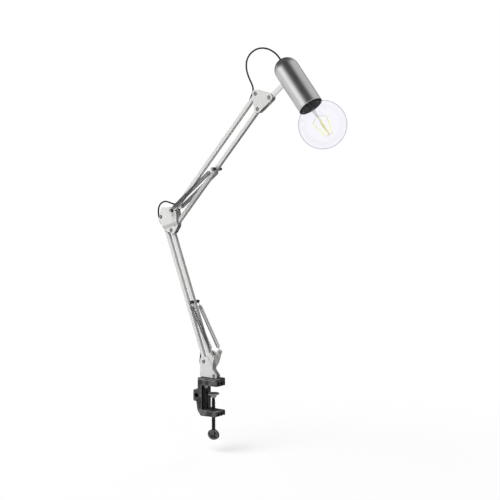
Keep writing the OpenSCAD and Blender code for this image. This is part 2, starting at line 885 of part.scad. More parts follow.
filament_len = 35.5;
filament_r = 0.9;
filament_tilt = 11.8;
filament_turn = 57;
filament_top = bulb_s - 11;
filament_bottom = filament_top + filament_len * cos(filament_tilt);
filament_ring = 14.8;
filament_ring_low = filament_ring - filament_len * sin(filament_tilt);
support_r = 0.3;
support_gap = 1.05;

// The four filaments lean inwards, away from the cap
module each_filament() {
  for (i = [0:3]) rotate([0, 0, filament_turn + 90 * i]) children();
}

module bulb_filaments() {
  color([0.93, 0.85, 0.5]) in_head() each_filament() translate([filament_ring, 0, filament_top])
    rotate([0, -filament_tilt, 0]) cylinder(r = filament_r, h = filament_len);
}

module filament_wires() {
  color(nickel) in_head() {
    translate([0, 0, stem_end + seat_gap])
      cylinder(r = 0.5, h = filament_bottom + support_gap - stem_end - seat_gap);
    each_filament() {
      between([0, 0, stem_end + 2], [filament_ring, 0, filament_top - support_gap])
        cylinder(r = support_r, h = norm([filament_ring, filament_top - support_gap - stem_end - 2]));
      between([0, 0, filament_bottom + support_gap - support_r],
              [filament_ring_low, 0, filament_bottom + support_gap - support_r])
        cylinder(r = support_r, h = filament_ring_low);
    }
  }
}

// Cord: its routes in the lamp's plane, each split where the two lengths move apart
function in_tube(p, a, s, off = 0) = p + s * dir(a) + off * left(dir(a));
run_low = slot_s + slot_len;
run_mid = lower_len - run_low;
run_far = upper_len - run_low;
run_end = 4;
base_route = concat(
  [for (q = [[run_low - seat_gap, 0], [run_low - run_end, 0], [33, 0.6], [26, 2.8], [19, 6], [12, 9.5]])
    in_tube(base_rear, lower_angle, q.x, q.y)],
  moved([[-14.5, -0.5], [-13.1, -8.5], [-9.9, -16], [-7, -22], [-7, -26.5], [-7, -30.7]], base_rear));
base_split = 5;
elbow_route = concat(
  [in_tube(upper_rear, upper_angle, run_low - seat_gap), in_tube(upper_rear, upper_angle, 30)],
  moved([[14, 16.6], [7.5, 14.1], [-0.5, 13.4], [-9.5, 15.2], [-18.5, 17.6], [-26.5, 18.6],
    [-34.5, 16.6], [-41.5, 11.6], [-45.5, 4.1], [-46.5, -4.9], [-45.5, -13.4], [-43, -21.4],
    [-39, -28.4], [-34, -33.9], [-28.3, -39.9]], upper_rear),
  [in_tube(elbow_rear, lower_angle, -34, 1.6), in_tube(elbow_rear, lower_angle, run_end - run_low),
   in_tube(elbow_rear, lower_angle, seat_gap - run_low)]);
elbow_split = 10;
head_route = concat(
  [in_tube(head_rear, upper_angle, seat_gap - run_low), in_tube(head_rear, upper_angle, run_end - run_low)],
  moved([[-24.6, -25.5], [-20.1, -18], [-16.3, -9], [-11.6, 0], [-9.6, 7], [-10.6, 14.5],
    [-14.6, 23], [-20.1, 33], [-24.6, 44], [-26.7, 55], [-25.6, 66.5], [-20.6, 76], [-12.1, 83.5],
    [-0.6, 88.5], [12.4, 89.8], [25.9, 87.5], [37.4, 82.5], [46.9, 76.2]], head_rear),
  [for (k = [5.5, 2, -2, 2 - holder_top - head_r]) dome - (head_r + k) * head_dir]);
head_split = 11;

// The cord along part of a route; its open end stops just short of the split
module cord(route, i0, i1, split) {
  whole = [for (q = route) [q.x, 0, q.y]];
  t = slopes(whole);
  path = [for (i = [i0:i1]) whole[i] + (i != split ? 0 : i == i0 ? seat_gap : -seat_gap) * t[i]];
  color(black) sweep(path, [for (q = path) [0, 1, 0]], [for (i = [i0:i1]) t[i]], cord_d / 2, 8);
}

module cord_base_upper() {
  cord(base_route, 0, base_split, base_split);
}

module cord_base_lower() {
  cord(base_route, base_split, len(base_route) - 1, base_split);
}

module cord_elbow_upper() {
  cord(elbow_route, 0, elbow_split, elbow_split);
}

module cord_elbow_lower() {
  cord(elbow_route, elbow_split, len(elbow_route) - 1, elbow_split);
}

module cord_head_lower() {
  cord(head_route, 0, head_split, head_split);
}

module cord_head_upper() {
  cord(head_route, head_split, len(head_route) - 1, head_split);
}

// Straight lengths of the cord inside a rear tube
module cord_run(p, a, s0, s1) {
  color(black) along(p, a) translate([s0, 0, 0]) rotate([0, 90, 0]) cylinder(d = cord_d, h = s1 - s0);
}

module cord_in_lower_tube() {
  cord_run(base_rear, lower_angle, run_low, run_mid);
}

module cord_in_upper_tube() {
  cord_run(upper_rear, upper_angle, run_low, run_far);
}

module cord_gland() {
  color(black) translate([base_rear.x - 7, 0, floor_z + plate_t]) difference() {
    translate([-2.6, -plate_in + side_gap, 0]) cube([5.2, 2 * (plate_in - side_gap), 8]);
    cylinder(d = cord_d + 0.1, h = far);
  }
}

clamp_body();
pressure_pad();
clamp_screw();
screw_handle();
swivel_washer();
base_post();
base_bracket();
base_rivets();
base_spacers();
cord_gland();
cord_base_upper();
cord_base_lower();
lower_rear_tube();
cord_in_lower_tube();
lower_front_tube();
lower_spring_pin();
lower_spring_sleeves();
lower_spring_hooks();
lower_spring_near();
lower_spring_far();
lower_spring_eyes();
elbow_plate_near();
elbow_plate_far();
elbow_rear_rivet();
elbow_front_rivets();
elbow_spring_pin();
elbow_spring_sleeves();
elbow_spacers();
cord_elbow_lower();
cord_elbow_upper();
upper_rear_tube();
cord_in_upper_tube();
upper_front_tube();
upper_spring_pin();
upper_spring_sleeves();
upper_spring_hooks();
upper_spring_near();
upper_spring_far();
upper_spring_eyes();
head_plate_near();
head_plate_far();
head_rivets();
head_spacers();
tilt_bolt();
tilt_nut();
cord_head_lower();
cord_head_upper();
head_stem();
stem_nut();
head_cover();
cord_grommet();
holder_bracket();
lamp_holder();
holder_shell();
bulb_cap();
bulb_glass();
bulb_stem();
filament_wires();
bulb_filaments();
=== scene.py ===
"""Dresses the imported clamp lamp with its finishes, wound springs, cords and glass, in a plain studio.

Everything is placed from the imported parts' own pivots and boxes. Copies with softened edges stand for the
rigid parts. The springs, cords, screw thread, head and bulb are modelled anew where a plain solid is too
simple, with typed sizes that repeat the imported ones.
"""

from __future__ import annotations

import json
import logging
import math
from dataclasses import dataclass, field
from enum import Enum
from typing import Callable

import bpy
from mathutils import Matrix, Vector

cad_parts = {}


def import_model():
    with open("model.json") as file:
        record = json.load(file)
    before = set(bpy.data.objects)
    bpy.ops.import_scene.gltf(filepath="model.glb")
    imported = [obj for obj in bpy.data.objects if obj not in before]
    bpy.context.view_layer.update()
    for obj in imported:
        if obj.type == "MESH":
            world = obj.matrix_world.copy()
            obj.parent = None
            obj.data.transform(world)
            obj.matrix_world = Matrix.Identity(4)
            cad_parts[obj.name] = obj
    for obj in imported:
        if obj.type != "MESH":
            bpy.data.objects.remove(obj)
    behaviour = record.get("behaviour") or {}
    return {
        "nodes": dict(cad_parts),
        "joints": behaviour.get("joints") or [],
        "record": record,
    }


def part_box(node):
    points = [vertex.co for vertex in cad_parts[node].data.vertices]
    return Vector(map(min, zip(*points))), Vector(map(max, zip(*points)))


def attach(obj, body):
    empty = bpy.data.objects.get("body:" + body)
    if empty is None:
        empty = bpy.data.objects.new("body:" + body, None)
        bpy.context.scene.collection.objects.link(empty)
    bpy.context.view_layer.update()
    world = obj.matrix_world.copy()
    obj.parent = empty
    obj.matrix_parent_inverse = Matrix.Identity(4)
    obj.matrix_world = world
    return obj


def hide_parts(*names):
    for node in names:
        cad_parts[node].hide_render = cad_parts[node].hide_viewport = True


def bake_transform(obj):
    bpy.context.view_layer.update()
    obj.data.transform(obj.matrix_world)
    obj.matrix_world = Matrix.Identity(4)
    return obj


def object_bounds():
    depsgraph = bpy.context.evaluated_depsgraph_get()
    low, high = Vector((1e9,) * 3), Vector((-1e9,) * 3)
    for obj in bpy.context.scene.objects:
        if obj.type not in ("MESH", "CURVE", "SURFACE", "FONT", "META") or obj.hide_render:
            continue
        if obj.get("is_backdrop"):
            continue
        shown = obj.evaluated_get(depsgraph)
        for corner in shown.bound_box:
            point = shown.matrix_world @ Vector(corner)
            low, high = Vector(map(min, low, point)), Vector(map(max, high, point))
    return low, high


MM = 0.001  # metres
WELD = 0.002 * MM  # points nearer than this become one
SCREW_DROP = 26.0 * MM  # how far the screw and its handle go down below their rest place
HEAD_ANGLE = math.radians(-52.4)  # direction of the head's axis, up from the X axis
log = logging.getLogger("clamp_lamp")
Piece = bpy.types.Object
Socket = bpy.types.NodeSocket
Route = list[Vector]
Pair = tuple[float, float]
Profile = list[Pair]
Colour = tuple[float, float, float]


class Slot(Enum):
    """The finishes of the lamp, named as in the record."""

    CLAMP = "clamp_black"
    BLACK_STEEL = "black_steel"
    ZINC = "zinc_plate"
    PLASTIC = "black_plastic"
    PAINT = "white_paint"
    RIVET = "rivet_nickel"
    NYLON = "white_nylon"
    CORD = "cord_black"
    SPRING = "spring_steel"
    SATIN = "satin_nickel"
    HOLDER = "holder_black"
    CAP = "cap_nickel"
    GLASS = "clear_glass"
    STEM = "stem_glass"
    FILAMENT = "filament_yellow"


class Nodes:
    """A node tree, with short calls for what finishes and surroundings share."""

    def __init__(self, tree: bpy.types.NodeTree) -> None:
        """Takes a tree and empties it."""
        self.tree = tree
        self.tree.nodes.clear()

    def add(self, kind: str, **settings: object) -> bpy.types.ShaderNode:
        """Adds a node.

        Args:
            kind: The node's type name.
            **settings: Properties of the node.

        Returns:
            The new node.
        """
        node = self.tree.nodes.new(kind)
        for key, value in settings.items():
            setattr(node, key, value)
        return node

    def link(self, source: Socket, target: Socket) -> None:
        """Joins two sockets."""
        self.tree.links.new(source, target)

    def combined(self, operation: str, first: Socket, second: Socket | float) -> Socket:
        """Combines two values.

        Args:
            operation: The sum to do, as the maths node names it.
            first: A value.
            second: A value or a fixed number.

        Returns:
            The result.
        """
        node = self.add("ShaderNodeMath", operation=operation)
        self.link(first, node.inputs[0])
        if isinstance(second, Socket):
            self.link(second, node.inputs[1])
        else:
            node.inputs[1].default_value = second
        return node.outputs[0]

    def spread(self, value: Socket, low: float, high: float, span: Pair = (0.3, 0.7),
               fade: str = "LINEAR") -> Socket:
        """Maps a pattern's usual span onto a range.

        Args:
            value: The pattern.
            low: Result at the span's start.
            high: Result at the span's end.
            span: The pattern's usual lowest and highest value.
            fade: How the result changes in between, as the map range node names it.

        Returns:
            The mapped value.
        """
        node = self.add("ShaderNodeMapRange", interpolation_type=fade)
        for socket, number in zip(node.inputs[1:5], (*span, low, high)):
            socket.default_value = number
        self.link(value, node.inputs[0])
        return node.outputs[0]


class Graph(Nodes):
    """A material's nodes, with the patterns that the finishes share."""

    edge_turn = (0.86, 0.99)  # cosine of the turn of the rounded normal at an edge and on the flats
    openness = (0.40, 0.92)  # open share of the sky deep in a pocket and in the open

    def __init__(self, name: str) -> None:
        """Starts a new material with one principled shader.

        Args:
            name: Name of the material.
        """
        self.material = bpy.data.materials.new(name)
        self.material.use_nodes = True
        super().__init__(self.material.node_tree)
        self.output = self.add("ShaderNodeOutputMaterial")
        self.shader = self.add("ShaderNodeBsdfPrincipled")
        self.link(self.shader.outputs[0], self.output.inputs["Surface"])
        self.place = self.add("ShaderNodeTexCoord").outputs["Object"]

    def set(self, **values: object) -> None:
        """Sets the shader's own sockets, with underscores for spaces."""
        for key, value in values.items():
            self.shader.inputs[key.replace("_", " ")].default_value = value

    def feed(self, socket: str, value: Socket) -> None:
        """Links a value to one of the shader's own sockets."""
        self.link(value, self.shader.inputs[socket])

    def overlay(self, share: Socket, other: Socket) -> None:
        """Shows a second shader in place of a share of the first.

        Args:
            share: How much of the second one is seen.
            other: The second one's output.
        """
        mixed = self.add("ShaderNodeMixShader")
        for source, target in zip((share, self.shader.outputs[0], other), mixed.inputs):
            self.link(source, target)
        self.link(mixed.outputs[0], self.output.inputs["Surface"])

    def stretched(self, scale: Colour, turn_y: float = 0.0) -> Socket:
        """Turns the object's coordinates about Y and stretches them.

        Args:
            scale: Factor along each turned axis.
            turn_y: Angle about Y in radians.

        Returns:
            The coordinates' socket.
        """
        turn = self.add("ShaderNodeMapping", vector_type="POINT")
        turn.inputs["Rotation"].default_value = (0.0, turn_y, 0.0)
        grow = self.add("ShaderNodeMapping", vector_type="POINT")
        grow.inputs["Scale"].default_value = scale
        self.link(self.place, turn.inputs["Vector"])
        self.link(turn.outputs[0], grow.inputs["Vector"])
        return grow.outputs[0]

    def noise(self, scale: float, detail: float = 3.0, where: Socket | None = None) -> Socket:
        """Adds a noise pattern.

        Args:
            scale: Features per metre.
            detail: Octaves of finer features.
            where: Coordinates, or the object's own.

        Returns:
            The pattern's value, from 0 to 1.
        """
        node = self.add("ShaderNodeTexNoise")
        node.inputs["Scale"].default_value = scale
        node.inputs["Detail"].default_value = detail
        self.link(where or self.place, node.inputs["Vector"])
        return node.outputs[0]

    def mixed(self, factor: Socket, first: Colour | Socket, second: Colour) -> Socket:
        """Mixes two colours by a factor.

        Args:
            factor: Share of the second colour.
            first: A colour, or the socket of one.
            second: A colour.

        Returns:
            The mixed colour.
        """
        node = self.add("ShaderNodeMix", data_type="RGBA")
        if isinstance(first, Socket):
            self.link(first, node.inputs[6])
        else:
            node.inputs[6].default_value = (*first, 1.0)
        node.inputs[7].default_value = (*second, 1.0)
        self.link(factor, node.inputs[0])
        return node.outputs[2]

    def edges(self, width: float) -> Socket:
        """Finds the object's outer and inner edges.

        Args:
            width: Reach of an edge in metres.

        Returns:
            1 at an edge, fading to 0 on the flats.
        """
        rounded = self.add("ShaderNodeBevel", samples=4)
        rounded.inputs["Radius"].default_value = width
        turn = self.add("ShaderNodeVectorMath", operation="DOT_PRODUCT")
        self.link(rounded.outputs[0], turn.inputs[0])
        self.link(self.add("ShaderNodeNewGeometry").outputs["Normal"], turn.inputs[1])
        return self.spread(turn.outputs["Value"], 1.0, 0.0, self.edge_turn)

    def shade_in_hollows(self, reach: float) -> Socket:
        """Finds pockets and corners, for painting the shade that falls there.

        Args:
            reach: How near other surfaces count, in metres.

        Returns:
            1 deep in a pocket, fading to 0 in the open.
        """
        node = self.add("ShaderNodeAmbientOcclusion", samples=4)
        node.inputs["Distance"].default_value = reach
        return self.spread(node.outputs["AO"], 1.0, 0.0, self.openness)

    def bump(self, heights: list[tuple[Socket, float]]) -> None:
        """Chains bumps onto the shader's normal.

        Args:
            heights: Patterns, each with its depth in metres.
        """
        last = None
        for value, depth in heights:
            node = self.add("ShaderNodeBump")
            node.inputs["Distance"].default_value = depth
            self.link(value, node.inputs["Height"])
            if last is not None:
                self.link(last, node.inputs["Normal"])
            last = node.outputs[0]
        self.feed("Normal", last)


@dataclass(frozen=True)
class Finish:
    """A surface with mottled colour, uneven gloss, a fine grain and, on some, darker edges that are painted
    shade.
    """

    slot: Slot
    colour: Colour
    second: Colour
    metal: float
    gloss: Pair
    patches: float
    grain: float
    depth: float = 0.004 * MM
    coat: float = 0.0
    specular: float = 0.5
    edge: Colour | None = None
    edge_width: float = 0.5 * MM
    finer: float = 2.3  # features of the gloss for one of the colour

    def build(self) -> bpy.types.Material:
        """Makes the material.

        Returns:
            The material.
        """
        graph = Graph(self.slot.value)
        patches = graph.noise(self.patches, 4.0)
        fine = graph.noise(self.grain, 2.0)
        colour = graph.mixed(graph.spread(patches, 0.0, 1.0), self.colour, self.second)
        # Darker edges, where set, are painted shade.
        if self.edge is not None:
            colour = graph.mixed(graph.edges(self.edge_width), colour, self.edge)
        graph.feed("Base Color", colour)
        graph.feed("Roughness", graph.spread(graph.noise(self.patches * self.finer), *self.gloss))
        graph.set(Metallic=self.metal, Coat_Weight=self.coat, Specular_IOR_Level=self.specular)
        graph.bump([(fine, self.depth)])
        return graph.material


@dataclass(frozen=True)
class CastFinish:
    """Black powder coat over a pebbled cast surface, with paler worn patches, paler edges that are partly
    wear and partly a painted highlight, and darker hollows that are painted shade.
    """

    slot: Slot
    colour: Colour
    second: Colour
    edge: Colour
    # Colour of the painted shade in pockets and corners.
    hollow_shade: Colour = (0.006, 0.006, 0.006)
    edge_width: float = 1.1 * MM
    # Reach of the search for pockets that get painted shade.
    hollow_shade_reach: float = 38.0 * MM
    worn: Pair = (0.42, 0.62)
    gloss: Pair = (0.36, 0.58)
    specular: float = 0.16
    grit: Pair = (1500.0, 0.012 * MM)  # features per metre and depth of each of the skin's three sizes
    pebbles: Pair = (420.0, 0.10 * MM)
    waves: Pair = (55.0, 0.5 * MM)

    def build(self) -> bpy.types.Material:
        """Makes the material.

        Returns:
            The material.
        """
        graph = Graph(self.slot.value)
        waves, grit, pebbles = (graph.noise(size[0], detail) for size, detail in (
            (self.waves, 6.0), (self.grit, 3.0), (self.pebbles, 4.0)))
        coat = graph.mixed(graph.spread(waves, 0.0, 1.0, self.worn), self.colour, self.second)
        # Darkens the coat towards black in pockets and corners: painted shade.
        hollow_shaded = graph.mixed(graph.shade_in_hollows(self.hollow_shade_reach), coat, self.hollow_shade)
        # Pales the colour along edges: partly wear, partly a painted highlight where the rounded edges would
        # catch the lamps.
        graph.feed("Base Color", graph.mixed(graph.edges(self.edge_width), hollow_shaded, self.edge))
        graph.feed("Roughness", graph.spread(pebbles, *self.gloss))
        graph.set(Metallic=0.0, Specular_IOR_Level=self.specular)
        graph.bump([(grit, self.grit[1]), (pebbles, self.pebbles[1]), (waves, self.waves[1])])
        return graph.material


@dataclass(frozen=True)
class BrushedFinish:
    """Metal brushed round an axis in the lamp's middle plane, under a faint haze."""

    slot: Slot
    colour: Colour
    second: Colour
    axis_turn: float
    gloss: Pair
    streaks: float
    depth: float
    along: float = 18.0  # features per metre along a streak
    haze: float = 32.0
    haze_gloss: Pair = (-0.02, 0.03)
    anisotropy: float = 0.35

    def build(self) -> bpy.types.Material:
        """Makes the material.

        Returns:
            The material.
        """
        graph = Graph(self.slot.value)
        lines = graph.noise(1.0, 5.0, graph.stretched((self.along, self.along, self.streaks), self.axis_turn))
        haze = graph.spread(graph.noise(self.haze), *self.haze_gloss)
        graph.feed("Base Color", graph.mixed(graph.spread(lines, 0.0, 1.0), self.colour, self.second))
        graph.feed("Roughness", graph.combined("ADD", graph.spread(lines, *self.gloss), haze))
        graph.set(Metallic=1.0, Anisotropic=self.anisotropy)
        graph.bump([(lines, self.depth)])
        return graph.material


@dataclass(frozen=True)
class GlassFinish:
    """Clear glass with the faintest tint and waviness, darker where it is seen at a slant."""

    slot: Slot
    tint: Colour
    rim: Colour
    edge: Pair
    index: float
    body: float
    waves: float = 14.0
    depth: float = 0.02 * MM

    def build(self) -> bpy.types.Material:
        """Makes the material: a share of solid glass over a clear film that darkens at the rim.

        Returns:
            The material.
        """
        graph = Graph(self.slot.value)
        graph.set(Base_Color=(*self.tint, 1.0), Transmission_Weight=1.0, IOR=self.index, Roughness=0.0)
        graph.bump([(graph.noise(self.waves, 1.0), self.depth)])
        clear = graph.add("ShaderNodeBsdfTransparent")
        facing = graph.add("ShaderNodeLayerWeight").outputs["Facing"]
        edge = graph.spread(facing, 0.0, 1.0, self.edge)
        graph.link(graph.mixed(edge, self.tint, self.rim), clear.inputs[0])
        shadow = graph.add("ShaderNodeLightPath").outputs["Is Shadow Ray"]
        graph.overlay(graph.combined("MAXIMUM", shadow, 1.0 - self.body), clear.outputs[0])
        return graph.material


@dataclass(frozen=True)
class PhosphorFinish:
    """Pale yellow silicone over a row of chips, seen as soft bright beads, with a faint painted glow in the
    unlit filaments.
    """

    slot: Slot
    colour: Colour
    second: Colour
    beads: float = 900.0
    depth: float = 0.04 * MM
    roughness: float = 0.35
    softness: float = 0.3
    soft_depth: float = 0.4 * MM
    # A faint painted glow; the filaments are not lit.
    glow: float = 0.45

    def build(self) -> bpy.types.Material:
        """Makes the material.

        Returns:
            The material.
        """
        graph = Graph(self.slot.value)
        beads = graph.noise(self.beads, 1.0)
        graph.feed("Base Color", graph.mixed(graph.spread(beads, 0.0, 1.0), self.colour, self.second))
        graph.set(Roughness=self.roughness, Subsurface_Weight=self.softness, Subsurface_Scale=self.soft_depth)
        # Painted glow: the unlit filaments emit a little light.
        graph.set(Emission_Strength=self.glow, Emission_Color=(*self.colour, 1.0))
        graph.bump([(beads, self.depth)])
        return graph.material


FINISHES = (
    # The clamp's pale edge colour is partly wear and partly a painted highlight.
    CastFinish(Slot.CLAMP, (0.034, 0.034, 0.036), (0.15, 0.15, 0.155), (0.52, 0.52, 0.53)),
    Finish(Slot.BLACK_STEEL, (0.016, 0.016, 0.017), (0.032, 0.032, 0.033), 0.6, (0.36, 0.50), 120.0, 1600.0,
           specular=0.2),
    Finish(Slot.ZINC, (0.18, 0.18, 0.185), (0.30, 0.30, 0.305), 1.0, (0.30, 0.46), 90.0, 900.0),
    Finish(Slot.PLASTIC, (0.012, 0.012, 0.013), (0.024, 0.024, 0.026), 0.0, (0.38, 0.52), 70.0, 1500.0,
           specular=0.25),
    # The paint's darker edge colour is painted shade along the edges.
    Finish(Slot.PAINT, (0.77, 0.768, 0.757), (0.815, 0.813, 0.802), 0.0, (0.26, 0.36), 30.0, 900.0,
           0.0012 * MM, coat=0.2, edge=(0.46, 0.46, 0.45)),
    # The rivets' black edge colour, over a wide reach, is painted shade round the heads.
    Finish(Slot.RIVET, (0.24, 0.24, 0.24), (0.40, 0.395, 0.39), 1.0, (0.22, 0.36), 260.0, 900.0, 0.003 * MM,
           edge=(0.012, 0.012, 0.012), edge_width=1.3 * MM),
    Finish(Slot.NYLON, (0.62, 0.61, 0.57), (0.70, 0.69, 0.65), 0.0, (0.42, 0.55), 120.0, 900.0),
    Finish(Slot.CORD, (0.010, 0.010, 0.011), (0.018, 0.018, 0.019), 0.0, (0.40, 0.55), 160.0, 1500.0,
           specular=0.25),
    Finish(Slot.SPRING, (0.10, 0.10, 0.105), (0.19, 0.19, 0.195), 1.0, (0.26, 0.40), 210.0, 900.0,
           0.003 * MM),
    BrushedFinish(Slot.SATIN, (0.50, 0.50, 0.50), (0.58, 0.58, 0.58), math.pi / 2 - HEAD_ANGLE, (0.26, 0.34),
                  1500.0, 0.0006 * MM),
    Finish(Slot.HOLDER, (0.005, 0.005, 0.005), (0.009, 0.009, 0.009), 0.0, (0.16, 0.28), 80.0, 900.0,
           0.003 * MM, specular=0.12),
    Finish(Slot.CAP, (0.58, 0.57, 0.55), (0.70, 0.69, 0.67), 1.0, (0.16, 0.28), 120.0, 900.0, 0.002 * MM),
    GlassFinish(Slot.GLASS, (0.984, 0.981, 0.996), (0.64, 0.635, 0.69), (0.74, 1.0), 1.45, 0.035),
    GlassFinish(Slot.STEM, (0.93, 0.935, 0.94), (0.25, 0.25, 0.27), (0.25, 0.85), 1.5, 0.15),
    PhosphorFinish(Slot.FILAMENT, (0.86, 0.84, 0.22), (0.94, 0.92, 0.42)),
)


class Palette:
    """All finishes of the lamp, made once."""

    def __init__(self) -> None:
        """Builds every material."""
        self.materials = {finish.slot: finish.build() for finish in FINISHES}

    def dress(self, piece: Piece, slot: Slot) -> None:
        """Gives a piece one finish."""
        piece.data.materials.clear()
        piece.data.materials.append(self.materials[slot])


class Workbench:
    """Modelling steps that the sub-assemblies share, with angles in degrees."""

    flat = 0.2  # facets that turn less are one face
    sharp = 38.0  # edges that turn more are rounded
    crease = 13.0  # edges of a rounded part that turn more stay crisp

    @staticmethod
    def clear() -> None:
        """Deselects everything."""
        bpy.ops.object.select_all(action="DESELECT")

    @classmethod
    def take(cls, piece: Piece) -> None:
        """Selects one piece alone and makes it active.

        Args:
            piece: The piece.
        """
        cls.clear()
        piece.select_set(True)
        bpy.context.view_layer.objects.active = piece

    @classmethod
    def smooth(cls, piece: Piece, angle: float) -> None:
        """Shades a piece smooth, apart from edges sharper than an angle in degrees."""
        cls.take(piece)
        bpy.ops.object.shade_smooth_by_angle(angle=math.radians(angle))

    @classmethod
    def drawn(cls, name: str, profile: Profile) -> Piece:
        """Draws a line of edges in the XZ plane and stays in edit mode with all of it selected.

        Args:
            name: The piece's name.
            profile: Radius and height of each point, in millimetres.

        Returns:
            The piece.
        """
        cls.clear()
        points = [Vector((radius * MM, 0.0, height * MM)) for radius, height in profile]
        bpy.ops.mesh.primitive_plane_add(size=MM, location=points[0])
        piece = bpy.context.active_object
        piece.name = name
        bpy.ops.object.transform_apply(location=True, rotation=False, scale=False)
        bpy.ops.object.mode_set(mode="EDIT")
        bpy.ops.mesh.select_all(action="SELECT")
        bpy.ops.mesh.merge(type="CENTER")
        for here, there in zip(points, points[1:]):
            bpy.ops.mesh.extrude_vertices_move(TRANSFORM_OT_translate={"value": there - here})
        bpy.ops.mesh.select_all(action="SELECT")
        return piece

    @classmethod
    def turned(cls, name: str, profile: Profile, steps: int) -> Piece:
        """Spins a profile round the Z axis, as on a lathe.

        Args:
            name: The piece's name.
            profile: Radius and height of each point, in millimetres.
            steps: Faces round the axis.

        Returns:
            The piece, standing on the origin's axis.
        """
        piece = cls.drawn(name, profile)
        bpy.ops.mesh.spin(steps=steps, angle=math.tau, center=(0, 0, 0), axis=(0, 0, 1))
        cls.weld()
        return piece

    @staticmethod
    def weld() -> None:
        """Merges doubled points of the piece in edit mode, turns its faces outwards and leaves that mode."""
        bpy.ops.mesh.select_all(action="SELECT")
        bpy.ops.mesh.remove_doubles(threshold=WELD)
        bpy.ops.mesh.normals_make_consistent(inside=False)
        bpy.ops.object.mode_set(mode="OBJECT")

    @classmethod
    def wire(cls, name: str, routes: list[Route], radius: float, sides: int = 8) -> Piece:
        """Draws round wire along one or more routes.

        Args:
            name: The piece's name.
            routes: Points of each length of wire, in metres.
            radius: The wire's radius in metres.
            sides: Even number of faces round the wire.

        Returns:
            One mesh with closed ends.
        """
        curve = bpy.data.curves.new(name, "CURVE")
        curve.dimensions = "3D"
        curve.bevel_depth = radius
        curve.bevel_resolution = (sides - 4) // 2
        curve.use_fill_caps = True
        for route in routes:
            spline = curve.splines.new("POLY")
            spline.points.add(len(route) - 1)
            for point, place in zip(spline.points, route):
                point.co = (*place, 1.0)
        piece = bpy.data.objects.new(name, curve)
        bpy.context.scene.collection.objects.link(piece)
        cls.take(piece)
        bpy.ops.object.convert(target="MESH")
        piece = bpy.context.active_object
        bpy.ops.object.mode_set(mode="EDIT")
        cls.weld()
        cls.smooth(piece, angle=60.0)
        return piece

    @classmethod
    def softened(cls, source: Piece, name: str, width: float,
                 chosen: Callable[[Vector, Vector], bool] | None = None) -> Piece:
        """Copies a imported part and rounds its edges.

        Args:
            source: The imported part.
            name: The copy's name.
            width: Width of the rounding, in metres.
            chosen: Test of an edge's two ends that picks it, or None for all sharp edges.

        Returns:
            The copy, in its place.
        """
        piece = bpy.data.objects.new(name, source.data.copy())
        bpy.context.scene.collection.objects.link(piece)
        cls.take(piece)
        bpy.ops.mesh.customdata_custom_splitnormals_clear()
        bpy.ops.object.mode_set(mode="EDIT")
        bpy.ops.mesh.select_all(action="SELECT")
        bpy.ops.mesh.remove_doubles(threshold=WELD)
        bpy.ops.mesh.dissolve_limited(angle_limit=math.radians(cls.flat))
        bpy.ops.object.mode_set(mode="OBJECT")
        bevel = piece.modifiers.new("edges", "BEVEL")
        bevel.width = width
        bevel.segments = 2
        bevel.limit_method = "ANGLE"
        bevel.angle_limit = math.radians(cls.sharp)
        if chosen is not None:
            bevel.limit_method = "WEIGHT"
            mesh = piece.data
            weights = mesh.attributes.new("bevel_weight_edge", "FLOAT", "EDGE")
            ends = [(mesh.vertices[e.vertices[0]].co, mesh.vertices[e.vertices[1]].co) for e in mesh.edges]
            weights.data.foreach_set("value", [float(chosen(a, b)) for a, b in ends])
        bpy.ops.object.modifier_apply(modifier=bevel.name)
        cls.smooth(piece, cls.crease)
        return piece

    @staticmethod
    def put(piece: Piece, place: Matrix) -> None:
        """Moves a piece's mesh to its place and leaves the object at the origin."""
        piece.data.transform(place)
        piece.data.update()

    @classmethod
    def joined(cls, name: str, pieces: list[Piece]) -> Piece:
        """Joins pieces into one mesh.

        Args:
            name: The joined piece's name.
            pieces: The pieces.

        Returns:
            The joined piece.
        """
        cls.clear()
        for piece in pieces:
            piece.select_set(True)
        bpy.context.view_layer.objects.active = pieces[0]
        bpy.ops.object.join()
        pieces[0].name = name
        return pieces[0]


def curved(points: Route, steps: int) -> Route:
    """Runs one smooth curve through given points.

    Args:
        points: The points.
        steps: Stretches between two points.

    Returns:
        The curve's points.
    """
    out: Route = []
    last = len(points) - 1
    for i in range(last):
        before, a, b, after = points[max(i - 1, 0)], points[i], points[i + 1], points[min(i + 2, last)]
        for k in range(steps):
            t = k / steps
            out.append(0.5 * (2 * a + (b - before) * t + (2 * before - 5 * a + 4 * b - after) * t**2
                              + (3 * a - before - 3 * b + after) * t**3))
    return [*out, points[last].copy()]


class Lamp:
    """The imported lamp: its nodes, pivots and directions, in metres."""

    def __init__(self) -> None:
        """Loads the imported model."""
        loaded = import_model()
        self.nodes: dict[str, Piece] = loaded["nodes"]
        self.record: dict = loaded["record"]
        self.pivots = {j["name"]: Vector(j["pos_m"]) for j in loaded["joints"] if "pos_m" in j}
        self.slots = {s["node"]: Slot(s["material_slot"]) for s in self.record["subparts"]}
        self.owner = {n: body for body, names in self.record["behaviour"]["bodies"].items() for n in names}
        self.palette = Palette()

    def middle(self, node: str) -> Vector:
        """Middle of a node's box."""
        low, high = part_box(node)
        return (low + high) / 2

    def finish(self, piece: Piece, *nodes: str) -> Piece:
        """Gives a new piece the finish and slot of the nodes that it stands for.

        Args:
            piece: The new piece.
            *nodes: The nodes that it stands for.

        Returns:
            The same piece.
        """
        slot = self.slots[nodes[0]]
        self.palette.dress(piece, slot)
        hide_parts(*nodes)
        log.info("%s stands for %s", piece.name, ", ".join(nodes))
        return piece

    def carry(self, piece: Piece, *nodes: str) -> Piece:
        """Finishes a rigid piece and lets it ride where its first node rides."""
        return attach(self.finish(piece, *nodes), self.owner[nodes[0]])


